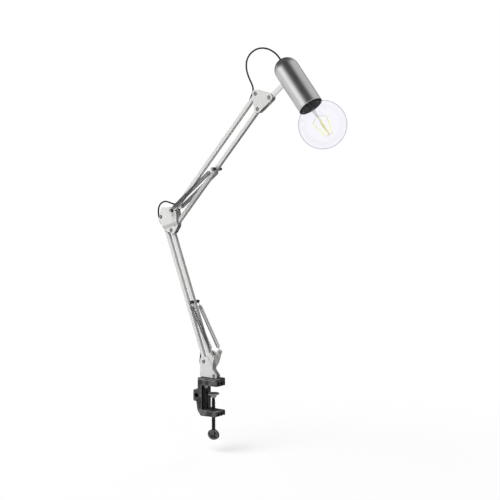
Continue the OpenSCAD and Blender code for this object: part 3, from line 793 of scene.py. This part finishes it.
@dataclass
class RigidParts:
    """Copies of the cast, pressed, turned and moulded parts, with rounded edges."""

    lamp: Lamp
    tube_half: float = 4.0 * MM
    tube_corner: float = 0.6 * MM
    side_error: float = 0.01 * MM
    rim_error: float = 0.05 * MM
    rounding: dict[str, float] = field(default_factory=lambda: {
        "clamp_body": 0.7, "screw_handle": 0.6, "pressure_pad": 0.5, "swivel_washer": 0.2, "base_post": 0.25,
        "base_bracket": 0.3, "base_rivets": 0.25, "cord_gland": 0.5, "elbow_plate_near": 0.3,
        "elbow_plate_far": 0.3, "elbow_rear_rivet": 0.25, "elbow_front_rivets": 0.25, "head_plate_near": 0.3,
        "head_plate_far": 0.3, "head_rivets": 0.25, "lower_spring_pin": 0.3, "upper_spring_pin": 0.3,
        "elbow_spring_pin": 0.3, "lower_spring_sleeves": 0.3, "upper_spring_sleeves": 0.3,
        "elbow_spring_sleeves": 0.3, "tilt_bolt": 0.25, "tilt_nut": 0.25, "head_stem": 0.6,
        "stem_nut": 0.3, "cord_grommet": 0.3, "holder_bracket": 0.3, "lamp_holder": 0.8})

    def build(self) -> None:
        """Makes all copies."""
        for node, width in self.rounding.items():
            piece = Workbench.softened(self.lamp.nodes[node], node + "_finished", width * MM)
            self.lamp.carry(piece, node)
        pivots = self.lamp.pivots
        for arm, top in (("lower", "elbow_level"), ("upper", "head_level")):
            rear, front = pivots[f"{arm}_arm"], pivots[f"{arm}_link"]
            self.tube(f"{arm}_rear_tube", rear, pivots[top])
            self.tube(f"{arm}_front_tube", front, pivots[top] + front - rear)

    def tube(self, node: str, start: Vector, end: Vector) -> None:
        """Rounds the long corners and end rims of a square tube.

        Args:
            node: The tube's node.
            start: Pivot at its lower end.
            end: Pivot at its upper end.
        """
        line = end - start

        def on_rim(point: Vector) -> bool:
            """Tells whether a point lies on the outer outline of one of the tube's flat sides.

            Args:
                point: The point.

            Returns:
                True on the outline.
            """
            share = max(0.0, min(1.0, (point - start).dot(line) / line.length_squared))
            off = point - start - share * line
            on_side = abs(abs(point.y) - self.tube_half) < self.side_error
            return on_side and math.hypot(off.x, off.z) > self.tube_half - self.rim_error

        piece = Workbench.softened(self.lamp.nodes[node], node + "_finished", self.tube_corner,
                                   lambda a, b: on_rim(a) and on_rim(b) and on_rim((a + b) / 2))
        self.lamp.carry(piece, node)


@dataclass
class Springs:
    """Four stretched springs with an eye at each end."""

    lamp: Lamp
    wire: float = 1.35 * MM
    outer: float = 8.6 * MM
    pitch: float = 2.45 * MM
    lead: float = 9.0 * MM
    overlap: float = 12.0 * MM
    eye_y: float = 13.0 * MM
    pin_eye: float = 2.95 * MM
    horn_eye: float = 3.6 * MM
    turn_points: int = 20
    rise_turns: float = 0.75
    eye_points: int = 30
    eye_gap: float = 25.0  # degrees between the eye's open end and its shank

    def build(self) -> None:
        """Winds both pairs and bends their ends."""
        pivots, lamp = self.lamp.pivots, self.lamp
        horn, lower_pin = pivots["lower_spring_swing"], lamp.middle("lower_spring_pin")
        elbow_pin, upper_pin = pivots["upper_spring_swing"], lamp.middle("upper_spring_pin")
        self.pair("lower", horn, lower_pin, self.horn_eye)
        self.pair("upper", elbow_pin, upper_pin, self.pin_eye)

    def pair(self, arm: str, start: Vector, end: Vector, first_eye: float) -> None:
        """Makes the two springs of one arm.

        Args:
            arm: The arm's name, as in the node names.
            start: Fixed end, in the middle plane.
            end: End on the arm's pin, in the middle plane.
            first_eye: Radius of the eye at the fixed end.
        """
        firsts, lasts = [], []
        for side, sign in (("near", -1.0), ("far", 1.0)):
            low = Vector((start.x, sign * self.eye_y, start.z))
            high = Vector((end.x, sign * self.eye_y, end.z))
            name = f"{arm}_spring_{side}"
            coil = Workbench.wire(name + "_wound", [self.coil(low, high)], self.wire / 2)
            self.lamp.finish(coil, name)
            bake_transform(coil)
            firsts.append(self.eye(low, high, first_eye, 0.0))
            lasts.append(self.eye(high, low, self.pin_eye, self.overlap))
        first = Workbench.wire(f"{arm}_spring_hooks_bent", firsts, self.wire / 2)
        last = Workbench.wire(f"{arm}_spring_eyes_bent", lasts, self.wire / 2)
        self.lamp.carry(first, f"{arm}_spring_hooks")
        self.lamp.carry(last, f"{arm}_spring_eyes")

    def coil(self, low: Vector, high: Vector) -> Route:
        """Gives the wire's middle line through the coil, which rises from the axis and returns to it.

        Args:
            low: The spring's fixed end.
            high: The spring's end on the arm.

        Returns:
            The points of the line.
        """
        along = (high - low).normalized()
        side = along.cross(Vector((0, 1, 0))).normalized()
        up = along.cross(side)
        length = (high - low).length - 2 * self.lead
        turns = round(length / self.pitch)
        radius = (self.outer - self.wire) / 2
        count = turns * self.turn_points
        out = [low + along * (self.lead - self.wire)]
        for i in range(count + 1):
            t = i / self.turn_points
            r = radius * min(1.0, min(t, turns - t) / self.rise_turns)
            angle = math.tau * t
            out.append(low + along * (self.lead + length * i / count)
                       + r * (math.cos(angle) * side + math.sin(angle) * up))
        return [*out, high - along * (self.lead - self.wire)]

    def eye(self, low: Vector, high: Vector, radius: float, extra: float) -> Route:
        """Bends an eye round a pin, with a shank that reaches into the coil.

        Args:
            low: The pin's middle under this eye.
            high: The spring's other end.
            radius: Radius of the wire's middle line.
            extra: How far the shank reaches past the coil's first turn.

        Returns:
            The points of the line.
        """
        along = (high - low).normalized()
        normal = along.cross(Vector((0, 1, 0))).normalized()
        turn = 360.0 - self.eye_gap
        angles = (math.radians(self.eye_gap + turn * i / self.eye_points) for i in range(self.eye_points + 1))
        ring = [low + radius * (math.cos(a) * along + math.sin(a) * normal) for a in angles]
        return [*ring, low + along * (self.lead - self.wire * 0.5 + extra)]


@dataclass
class Cords:
    """The black cord: inside the rear tubes, and in a loop at the base, the elbow and the head.

    Points outside the tubes are millimetres from a pivot, ahead of it and above it. Points inside are
    millimetres along the tube, from its lower or upper pivot, and behind its middle line.
    """

    lamp: Lamp
    diameter: float = 3.4 * MM
    run_in: float = 44.0
    sides: int = 16
    straight_steps: int = 12
    curve_steps: int = 6
    base_run: tuple[Pair, ...] = ((44, 0), (40, 0), (33, 0.6), (26, 2.8), (19, 6), (12, 9.5))
    elbow_run: tuple[Pair, ...] = ((44, 0), (30, 0))
    elbow_end: tuple[Pair, ...] = ((-34, 1.6), (-40, 0), (-44, 0))
    head_run: tuple[Pair, ...] = ((-44, 0), (-40, 0))
    head_end: tuple[float, ...] = (30.5, 27, 23, -38)  # behind the dome, on the head's axis
    elbow_points: tuple[Pair, ...] = (
        (14, 16.6), (7.5, 14.1), (-0.5, 13.4), (-9.5, 15.2), (-18.5, 17.6), (-26.5, 18.6), (-34.5, 16.6),
        (-41.5, 11.6), (-45.5, 4.1), (-46.5, -4.9), (-45.5, -13.4), (-43, -21.4), (-39, -28.4), (-34, -33.9),
        (-28.3, -39.9))
    head_points: tuple[Pair, ...] = (
        (-24.6, -25.5), (-20.1, -18), (-16.3, -9), (-11.6, 0), (-9.6, 7), (-10.6, 14.5), (-14.6, 23),
        (-20.1, 33), (-24.6, 44), (-26.7, 55), (-25.6, 66.5), (-20.6, 76), (-12.1, 83.5), (-0.6, 88.5),
        (12.4, 89.8), (25.9, 87.5), (37.4, 82.5), (46.9, 76.2))
    base_points: tuple[Pair, ...] = (
        (-14.5, -0.5), (-13.1, -8.5), (-9.9, -16), (-7, -22), (-7, -26.5), (-7, -30.7))

    @staticmethod
    def plane(points: tuple[Pair, ...], pivot: Vector) -> Route:
        """Turns millimetres from a pivot, in the lamp's plane, into points."""
        return [pivot + Vector((x * MM, 0.0, z * MM)) for x, z in points]

    def inside(self, start: Vector, end: Vector, places: tuple[Pair, ...], reach: float = 0.0) -> Route:
        """Turns places inside a tube into points.

        Args:
            start: The tube's lower pivot.
            end: The tube's upper pivot.
            places: Distance up the tube and behind its middle line, in millimetres.
            reach: Where the distances start, in millimetres above the lower pivot.

        Returns:
            The points.
        """
        way = (end - start).normalized()
        behind = Vector((-way.z, 0.0, way.x))
        return [start + way * (reach + along) * MM + behind * off * MM for along, off in places]

    def build(self) -> None:
        """Lays the whole cord."""
        pivots = self.lamp.pivots
        lower, elbow = pivots["lower_arm"], pivots["elbow_level"]
        upper, head = pivots["upper_arm"], pivots["head_level"]
        base_route = [*self.inside(lower, elbow, self.base_run), *self.plane(self.base_points, lower)]
        curve = curved(base_route, self.curve_steps)
        base = self.tube("cord_base", curve, "cord_base_upper", "cord_base_lower")
        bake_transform(base)
        self.straight("cord_in_lower_tube", lower, elbow)
        self.straight("cord_in_upper_tube", upper, head)
        reach = (elbow - lower).length / MM
        elbow_route = [*self.inside(upper, head, self.elbow_run), *self.plane(self.elbow_points, upper),
                       *self.inside(lower, elbow, self.elbow_end, reach)]
        self.loop("elbow", elbow_route, split=10,
                  nodes=("cord_elbow_upper", "cord_elbow_lower"))
        dome, down = Head.frame_of(self.lamp)
        head_route = [*self.inside(upper, head, self.head_run, reach), *self.plane(self.head_points, head),
                      *(dome - down * k * MM for k in self.head_end)]
        self.loop("head", head_route, split=11,
                  nodes=("cord_head_lower", "cord_head_upper"))

    def tube(self, name: str, route: Route, *nodes: str) -> Piece:
        """Draws a length of cord and finishes it."""
        cord = Workbench.wire(name + "_round", [route], self.diameter / 2, self.sides)
        return self.lamp.finish(cord, *nodes)

    def straight(self, node: str, start: Vector, end: Vector) -> None:
        """Draws the straight length inside a tube.

        Args:
            node: The node that it stands for.
            start: The tube's lower pivot.
            end: The tube's upper pivot.
        """
        length, steps = (end - start).length / MM - 2 * self.run_in, self.straight_steps
        places = tuple((self.run_in + length * i / steps, 0.0) for i in range(steps + 1))
        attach(self.tube(node, self.inside(start, end, places), node), self.lamp.owner[node])

    def loop(self, name: str, route: Route, split: int,
             nodes: tuple[str, str]) -> None:
        """Draws a loop in two lengths that meet at the split point.

        Args:
            name: The loop's name.
            route: Given points.
            split: Index of the point where the lengths meet.
            nodes: The nodes of the first and second length.
        """
        whole = curved(route, self.curve_steps)
        cut = split * self.curve_steps
        first = self.tube(f"cord_{name}_first", whole[:cut + 1], nodes[0])
        second = self.tube(f"cord_{name}_second", whole[cut:], nodes[1])
        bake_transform(first)
        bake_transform(second)


@dataclass
class Screw:
    """The clamping screw with its helical thread, in millimetres."""

    lamp: Lamp
    outer: float = 4.0
    root: float = 3.45
    pitch: float = 2.0
    neck: float = 3.0
    neck_len: float = 9.05
    chamfer: float = 0.3
    blank_foot: float = 0.6
    blank_top: float = 4.0
    sunk: float = 0.4
    half_foot: float = 0.42  # half the ridge's width where it starts and at its crest, in pitches
    half_crest: float = 0.12
    facets: int = 48
    steps: int = 32

    def build(self) -> None:
        """Turns the shank and winds the thread on it."""
        low, high = (corner.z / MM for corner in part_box("clamp_screw"))
        root, neck, cut, shoulder = self.root, self.neck, self.chamfer, high - self.neck_len
        shank = Workbench.turned("screw_shank", [
            (0, low), (root, low), (root, shoulder - cut), (root - cut, shoulder), (neck, shoulder),
            (neck, high - cut), (neck - cut, high), (0, high)], self.facets)
        thread = self.thread(low + self.blank_foot, shoulder - self.blank_top)
        screw = Workbench.joined("clamp_screw_threaded", [shank, thread])
        Workbench.smooth(screw, angle=50.0)
        self.lamp.carry(screw, "clamp_screw")

    def thread(self, low: float, high: float) -> Piece:
        """Winds a ridge round the shank.

        Args:
            low: Height of its start.
            high: Height of its end.

        Returns:
            The ridge.
        """
        inner, foot, crest = self.root - self.sunk, self.half_foot * self.pitch, self.half_crest * self.pitch
        piece = Workbench.drawn("screw_thread", [
            (inner, low - foot), (self.outer, low - crest), (self.outer, low + crest), (inner, low + foot),
            (inner, low - foot)])
        bpy.ops.mesh.remove_doubles(threshold=WELD)
        bpy.ops.object.mode_set(mode="OBJECT")
        winding = piece.modifiers.new("winding", "SCREW")
        winding.screw_offset = self.pitch * MM
        winding.iterations = int((high - low) / self.pitch)
        winding.steps = winding.render_steps = self.steps
        bpy.ops.object.modifier_apply(modifier=winding.name)
        bpy.ops.object.mode_set(mode="EDIT")
        bpy.ops.mesh.select_all(action="SELECT")
        bpy.ops.mesh.fill_holes(sides=4)
        bpy.ops.mesh.normals_make_consistent(inside=False)
        bpy.ops.object.mode_set(mode="OBJECT")
        return piece


@dataclass
class Head:
    """The satin cylinder with its domed end, and the bulb that it holds, in millimetres.

    Its own frame has the dome's middle as origin and Z along the axis, towards the mouth.
    """

    lamp: Lamp
    radius: float = 25.0
    wall: float = 0.9
    length: float = 91.3
    bead: float = 0.9
    hole: float = 2.7
    globe_at: float = 137.5
    globe: float = 47.5
    bulb_length: float = 138.0
    cap_length: float = 27.0
    neck: float = 15.0
    tail: float = 11.0
    glass: float = 0.8
    tail_end: float = 4.5  # how far the glass goes down into the cap
    cap_radius: float = 13.2
    cap_wave: float = 0.45
    join: float = 140.0  # degrees from the globe's far end to where the neck starts
    globe_step: float = 2.5
    dome_steps: int = 28
    wall_steps: int = 6
    neck_steps: int = 16
    facets: int = 128

    @staticmethod
    def frame_of(lamp: Lamp) -> tuple[Vector, Vector]:
        """Gives the middle of the dome and the direction of the head's axis.

        Args:
            lamp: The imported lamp.

        Returns:
            The point and the direction.
        """
        reach, drop = 63.6 * MM, 17.0 * MM
        down = Vector((math.cos(HEAD_ANGLE), 0.0, math.sin(HEAD_ANGLE)))
        left = Vector((-down.z, 0.0, down.x))
        return lamp.pivots["head_tilt"] + reach * left - drop * down, down

    def place(self) -> Matrix:
        """Gives the matrix from the head's own frame to the lamp's."""
        dome, _ = self.frame_of(self.lamp)
        return Matrix.Translation(dome) @ Matrix.Rotation(math.pi / 2 - HEAD_ANGLE, 4, "Y")

    def add(self, piece: Piece, node: str, angle: float = 40.0) -> None:
        """Puts a piece in its place on the head.

        Args:
            piece: The piece, in the head's own frame.
            node: The node that it stands for.
            angle: Edges that turn more stay crisp, in degrees.
        """
        Workbench.smooth(piece, angle)
        Workbench.put(piece, self.place())
        self.lamp.carry(piece, node)

    def build(self) -> None:
        """Makes the cover and the bulb."""
        cover = Workbench.turned("head_cover_spun", self.cover_profile(), self.facets)
        # The cover's inner faces take the black holder finish: painted shade inside the head.
        middle = (self.radius - self.wall / 2) * MM
        inside = [math.hypot(face.center.x, face.center.y, min(face.center.z, 0.0)) < middle
                  for face in cover.data.polygons]
        self.add(cover, "head_cover")
        cover.data.materials.append(self.lamp.palette.materials[Slot.HOLDER])
        cover.data.polygons.foreach_set("material_index", [int(dark) for dark in inside])
        glass = Workbench.turned("bulb_glass_blown", self.glass_profile(), self.facets)
        self.add(glass, "bulb_glass", angle=60.0)
        self.add(self.cap(), "bulb_cap")

    def dome_and_wall(self, radius: float) -> Profile:
        """Gives the line of one face, from the hole over the dome and along the wall.

        Args:
            radius: Radius of the dome and the wall.

        Returns:
            The line's points.
        """
        start, steps, parts = math.asin(self.hole / radius), self.dome_steps, self.wall_steps
        angles = [start + (math.pi / 2 - start) * i / steps for i in range(steps + 1)]
        dome = [(radius * math.sin(a), -radius * math.cos(a)) for a in angles]
        return [*dome, *((radius, self.length * k / parts) for k in range(1, parts))]

    def cover_profile(self) -> Profile:
        """Gives the wall's closed section: outside from the hole to the rolled rim, then back inside.

        Returns:
            The section's points.
        """
        outside, inside = (self.dome_and_wall(r) for r in (self.radius, self.radius - self.wall))
        bead_at = self.radius - self.bead / 2
        rim = [(bead_at + self.bead * math.cos(a), self.length + self.bead * math.sin(a))
               for a in (math.radians(turn) for turn in range(-60, 201, 20))]
        return [*outside, *rim, *inside[::-1], outside[0]]

    @property
    def tip(self) -> float:
        """Gives the height of the cap's contact."""
        return self.globe_at + self.globe - self.bulb_length

    def globe_half(self, inset: float) -> Profile:
        """Gives half of the globe's outline with its neck and tail.

        Args:
            inset: How far the line lies inside the outer face.

        Returns:
            The line's points.
        """
        cap_top = self.tip + self.cap_length
        start, r, w = cap_top + 1 + inset, self.globe - inset, self.neck - inset
        join = math.radians(self.join)
        x, z = r * math.sin(join), self.globe_at + r * math.cos(join)
        lean = (z - start) / math.tan(join)
        turns = (math.radians(self.globe_step * i) for i in range(int(self.join / self.globe_step) + 1))
        out = [(r * math.sin(a), self.globe_at + r * math.cos(a)) for a in turns]
        for i in range(1, self.neck_steps + 1):
            t = i / self.neck_steps
            out.append((x + (w - x) * t * t * (3 - 2 * t) + lean * t * (1 - t) ** 2, z + (start - z) * t))
        tail = self.tail - inset
        return [*out, (tail, start - self.glass), (tail, cap_top - self.tail_end)]

    def glass_profile(self) -> Profile:
        """Gives the closed section of the glass, outside and then inside."""
        return [*self.globe_half(0.0), *self.globe_half(self.glass)[::-1]]

    def cap(self) -> Piece:
        """Turns the screw cap, with its rounded thread drawn as four rings.

        Returns:
            The cap, in the head's own frame.
        """
        tip, crest, deep = self.tip, self.cap_radius, self.cap_wave
        steps, turn_steps, low, rise = 36, 9, tip + 5, 18
        wave = [(crest - deep + deep * math.sin(math.tau * i / turn_steps), low + rise * i / steps)
                for i in range(steps + 1)]
        inner = crest - 2.0
        return Workbench.turned("bulb_cap_rolled", [
            (0, tip), (4, tip), (5.5, tip + 2.4), (crest - 2.5, tip + 3.6), *wave, (crest - 0.4, tip + 26),
            (crest - 0.6, tip + 27), (inner, tip + 27), (inner, tip + 5.2), (0, tip + 5.2)], 64)


@dataclass(frozen=True)
class Patch:
    """A round patch of the surroundings, darker or brighter than the rest, that fades at its rim.

    Its span is the cosine of the angle from its middle where it starts and where it is full, and its ends
    are the brightness outside and inside.
    """

    way: Vector
    span: Pair
    ends: Pair

    def build(self, world: Nodes) -> Socket:
        """Adds the patch to the surroundings.

        Args:
            world: The world's nodes.

        Returns:
            The patch's brightness in each direction.
        """
        facing = world.add("ShaderNodeVectorMath", operation="DOT_PRODUCT")
        facing.inputs[1].default_value = self.way.normalized()
        world.link(world.add("ShaderNodeTexCoord").outputs["Generated"], facing.inputs[0])
        return world.spread(facing.outputs["Value"], *self.ends, self.span, "SMOOTHSTEP")


@dataclass(frozen=True)
class SoftLamp:
    """A square lamp that faces the middle of the object, with its side in metres and its power in watts.

    It isn't mirrored and isn't seen through glass. Polished metal mirrors the surroundings' patches instead.
    """

    name: str
    place: Vector
    side: float
    power: float

    def build(self, target: Vector) -> None:
        """Hangs the lamp.

        Args:
            target: The point that it faces.
        """
        data = bpy.data.lights.new(self.name, "AREA")
        data.size = self.side
        data.energy = self.power
        light = bpy.data.objects.new(self.name, data)
        light.location = self.place
        light.rotation_mode = "QUATERNION"
        light.rotation_quaternion = (target - self.place).to_track_quat("-Z", "Y")
        light.visible_glossy = light.visible_transmission = False
        bpy.context.scene.collection.objects.link(light)


class Studio:
    """Pale floor, white surroundings with dark and bright patches, soft lamps and the photograph's camera."""

    azimuth = math.radians(36.913)
    pitch = math.radians(4.292)
    distance = 2.2474
    target = Vector((0.0967, 0.0, 0.2901))
    focal_px = 1101.1
    frame_px = 500.0
    film = 36.0
    clip = (0.05, 60.0)
    ambient = 0.12  # how much the surroundings light what isn't polished
    patches = (
        Patch(Vector((0.35, -0.67, 0.65)), (0.68, 0.95), (0.9, 0.10)),
        Patch(Vector((-0.50, 0.0, 0.87)), (0.50, 0.90), (1.0, 0.16)),
        Patch(Vector((-0.60, 0.80, -0.08)), (0.55, 0.85), (1.0, 0.25)),
        Patch(Vector((-0.53, -0.85, -0.02)), (0.86, 0.98), (1.0, 1.8)),
    )
    lamps = (
        SoftLamp("key", Vector((-0.72, -1.3, 3.2)), 1.4, 112.0),
        SoftLamp("fill", Vector((-0.60, -1.2, -0.05)), 0.6, 11.5),
        SoftLamp("back", Vector((-0.3, 2.6, 1.0)), 1.2, 38.0),
    )
    floor_radius = 8.0
    floor_fade = ((0.75, 1.0), (0.2, 0.9))  # share of plain white, and the distances that it goes with

    def back(self) -> Vector:
        """Gives the direction from the target to the camera."""
        a, e = self.azimuth, self.pitch
        return Vector((math.sin(a) * math.cos(e), -math.cos(a) * math.cos(e), math.sin(e)))

    def camera(self) -> None:
        """Sets the camera where the photograph was taken."""
        back = self.back()
        right = Vector((math.cos(self.azimuth), math.sin(self.azimuth), 0.0))
        up = back.cross(right)
        data = bpy.data.cameras.new("camera")
        data.sensor_width = self.film
        data.lens = self.focal_px / self.frame_px * self.film
        data.clip_start, data.clip_end = self.clip
        camera = bpy.data.objects.new("camera", data)
        bpy.context.scene.collection.objects.link(camera)
        axes = Matrix((right, up, back)).transposed()
        camera.matrix_world = Matrix.Translation(self.target + back * self.distance) @ axes.to_4x4()
        bpy.context.scene.camera = camera

    @staticmethod
    def seen(tree: Nodes, rays: bpy.types.ShaderNode) -> Socket:
        """Gives 1 for what the camera sees, straight or through glass, and 0 for other rays."""
        return tree.combined("MAXIMUM", rays.outputs["Is Camera Ray"], rays.outputs["Is Transmission Ray"])

    def world(self) -> None:
        """Makes surroundings that are white to the eye, patched to polished metal and dim to the rest."""
        world = bpy.data.worlds.new("surroundings")
        world.use_nodes = True
        bpy.context.scene.world = world
        tree = Nodes(world.node_tree)
        rays = tree.add("ShaderNodeLightPath")
        shown = self.patches[0].build(tree)
        for patch in self.patches[1:]:
            shown = tree.combined("MULTIPLY", shown, patch.build(tree))
        plain, strength, surface, output = (tree.add(kind) for kind in (
            "ShaderNodeMix", "ShaderNodeMix", "ShaderNodeBackground", "ShaderNodeOutputWorld"))
        plain.inputs[2].default_value = self.ambient
        tree.link(rays.outputs["Is Glossy Ray"], plain.inputs[0])
        tree.link(shown, plain.inputs[3])
        strength.inputs[3].default_value = 1.0
        tree.link(self.seen(tree, rays), strength.inputs[0])
        tree.link(plain.outputs[0], strength.inputs[2])
        surface.inputs["Color"].default_value = (1.0, 1.0, 1.0, 1.0)
        tree.link(strength.outputs[0], surface.inputs["Strength"])
        tree.link(surface.outputs[0], output.inputs["Surface"])

    def floor(self, height: float) -> None:
        """Lays a pale floor that fades to white far from the object.

        Args:
            height: The floor's height.
        """
        Workbench.clear()
        bpy.ops.mesh.primitive_circle_add(vertices=96, radius=self.floor_radius, fill_type="NGON",
                                          location=(0, 0, height))
        floor = bpy.context.active_object
        floor.name = "floor"
        bpy.ops.object.transform_apply(location=True, rotation=False, scale=False)
        graph = Graph("floor_white")
        graph.set(Base_Color=(0.9, 0.9, 0.9, 1.0), Roughness=0.9, Specular_IOR_Level=0.0)
        white = graph.add("ShaderNodeEmission")
        rays = graph.add("ShaderNodeLightPath")
        shown = graph.combined("MAXIMUM", self.seen(graph, rays), rays.outputs["Is Glossy Ray"])
        graph.link(shown, white.inputs["Strength"])
        far = graph.add("ShaderNodeVectorMath", operation="LENGTH")
        graph.link(graph.place, far.inputs[0])
        ends, span = self.floor_fade
        graph.overlay(graph.spread(far.outputs["Value"], *ends, span), white.outputs[0])
        floor.data.materials.append(graph.material)
        floor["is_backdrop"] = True

    def build(self, floor_height: float) -> None:
        """Sets up floor, surroundings and lamps.

        Args:
            floor_height: The floor's height.
        """
        self.floor(floor_height)
        self.world()
        for lamp in self.lamps:
            lamp.build(self.target)
        bpy.context.scene.view_settings.view_transform = "Standard"


def main() -> None:
    """Builds the lamp's looks in order, with the floor set below the size found before dressing."""
    logging.basicConfig(level=logging.INFO, format="%(message)s")
    lamp = Lamp()
    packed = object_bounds()
    studio = Studio()
    studio.camera()
    Cords(lamp).build()
    Springs(lamp).build()
    RigidParts(lamp).build()
    Screw(lamp).build()
    Head(lamp).build()
    for node, slot in lamp.slots.items():
        lamp.palette.dress(lamp.nodes[node], slot)
    studio.build(packed[0].z - SCREW_DROP - 0.5 * MM)


if __name__ == "__main__":
    main()
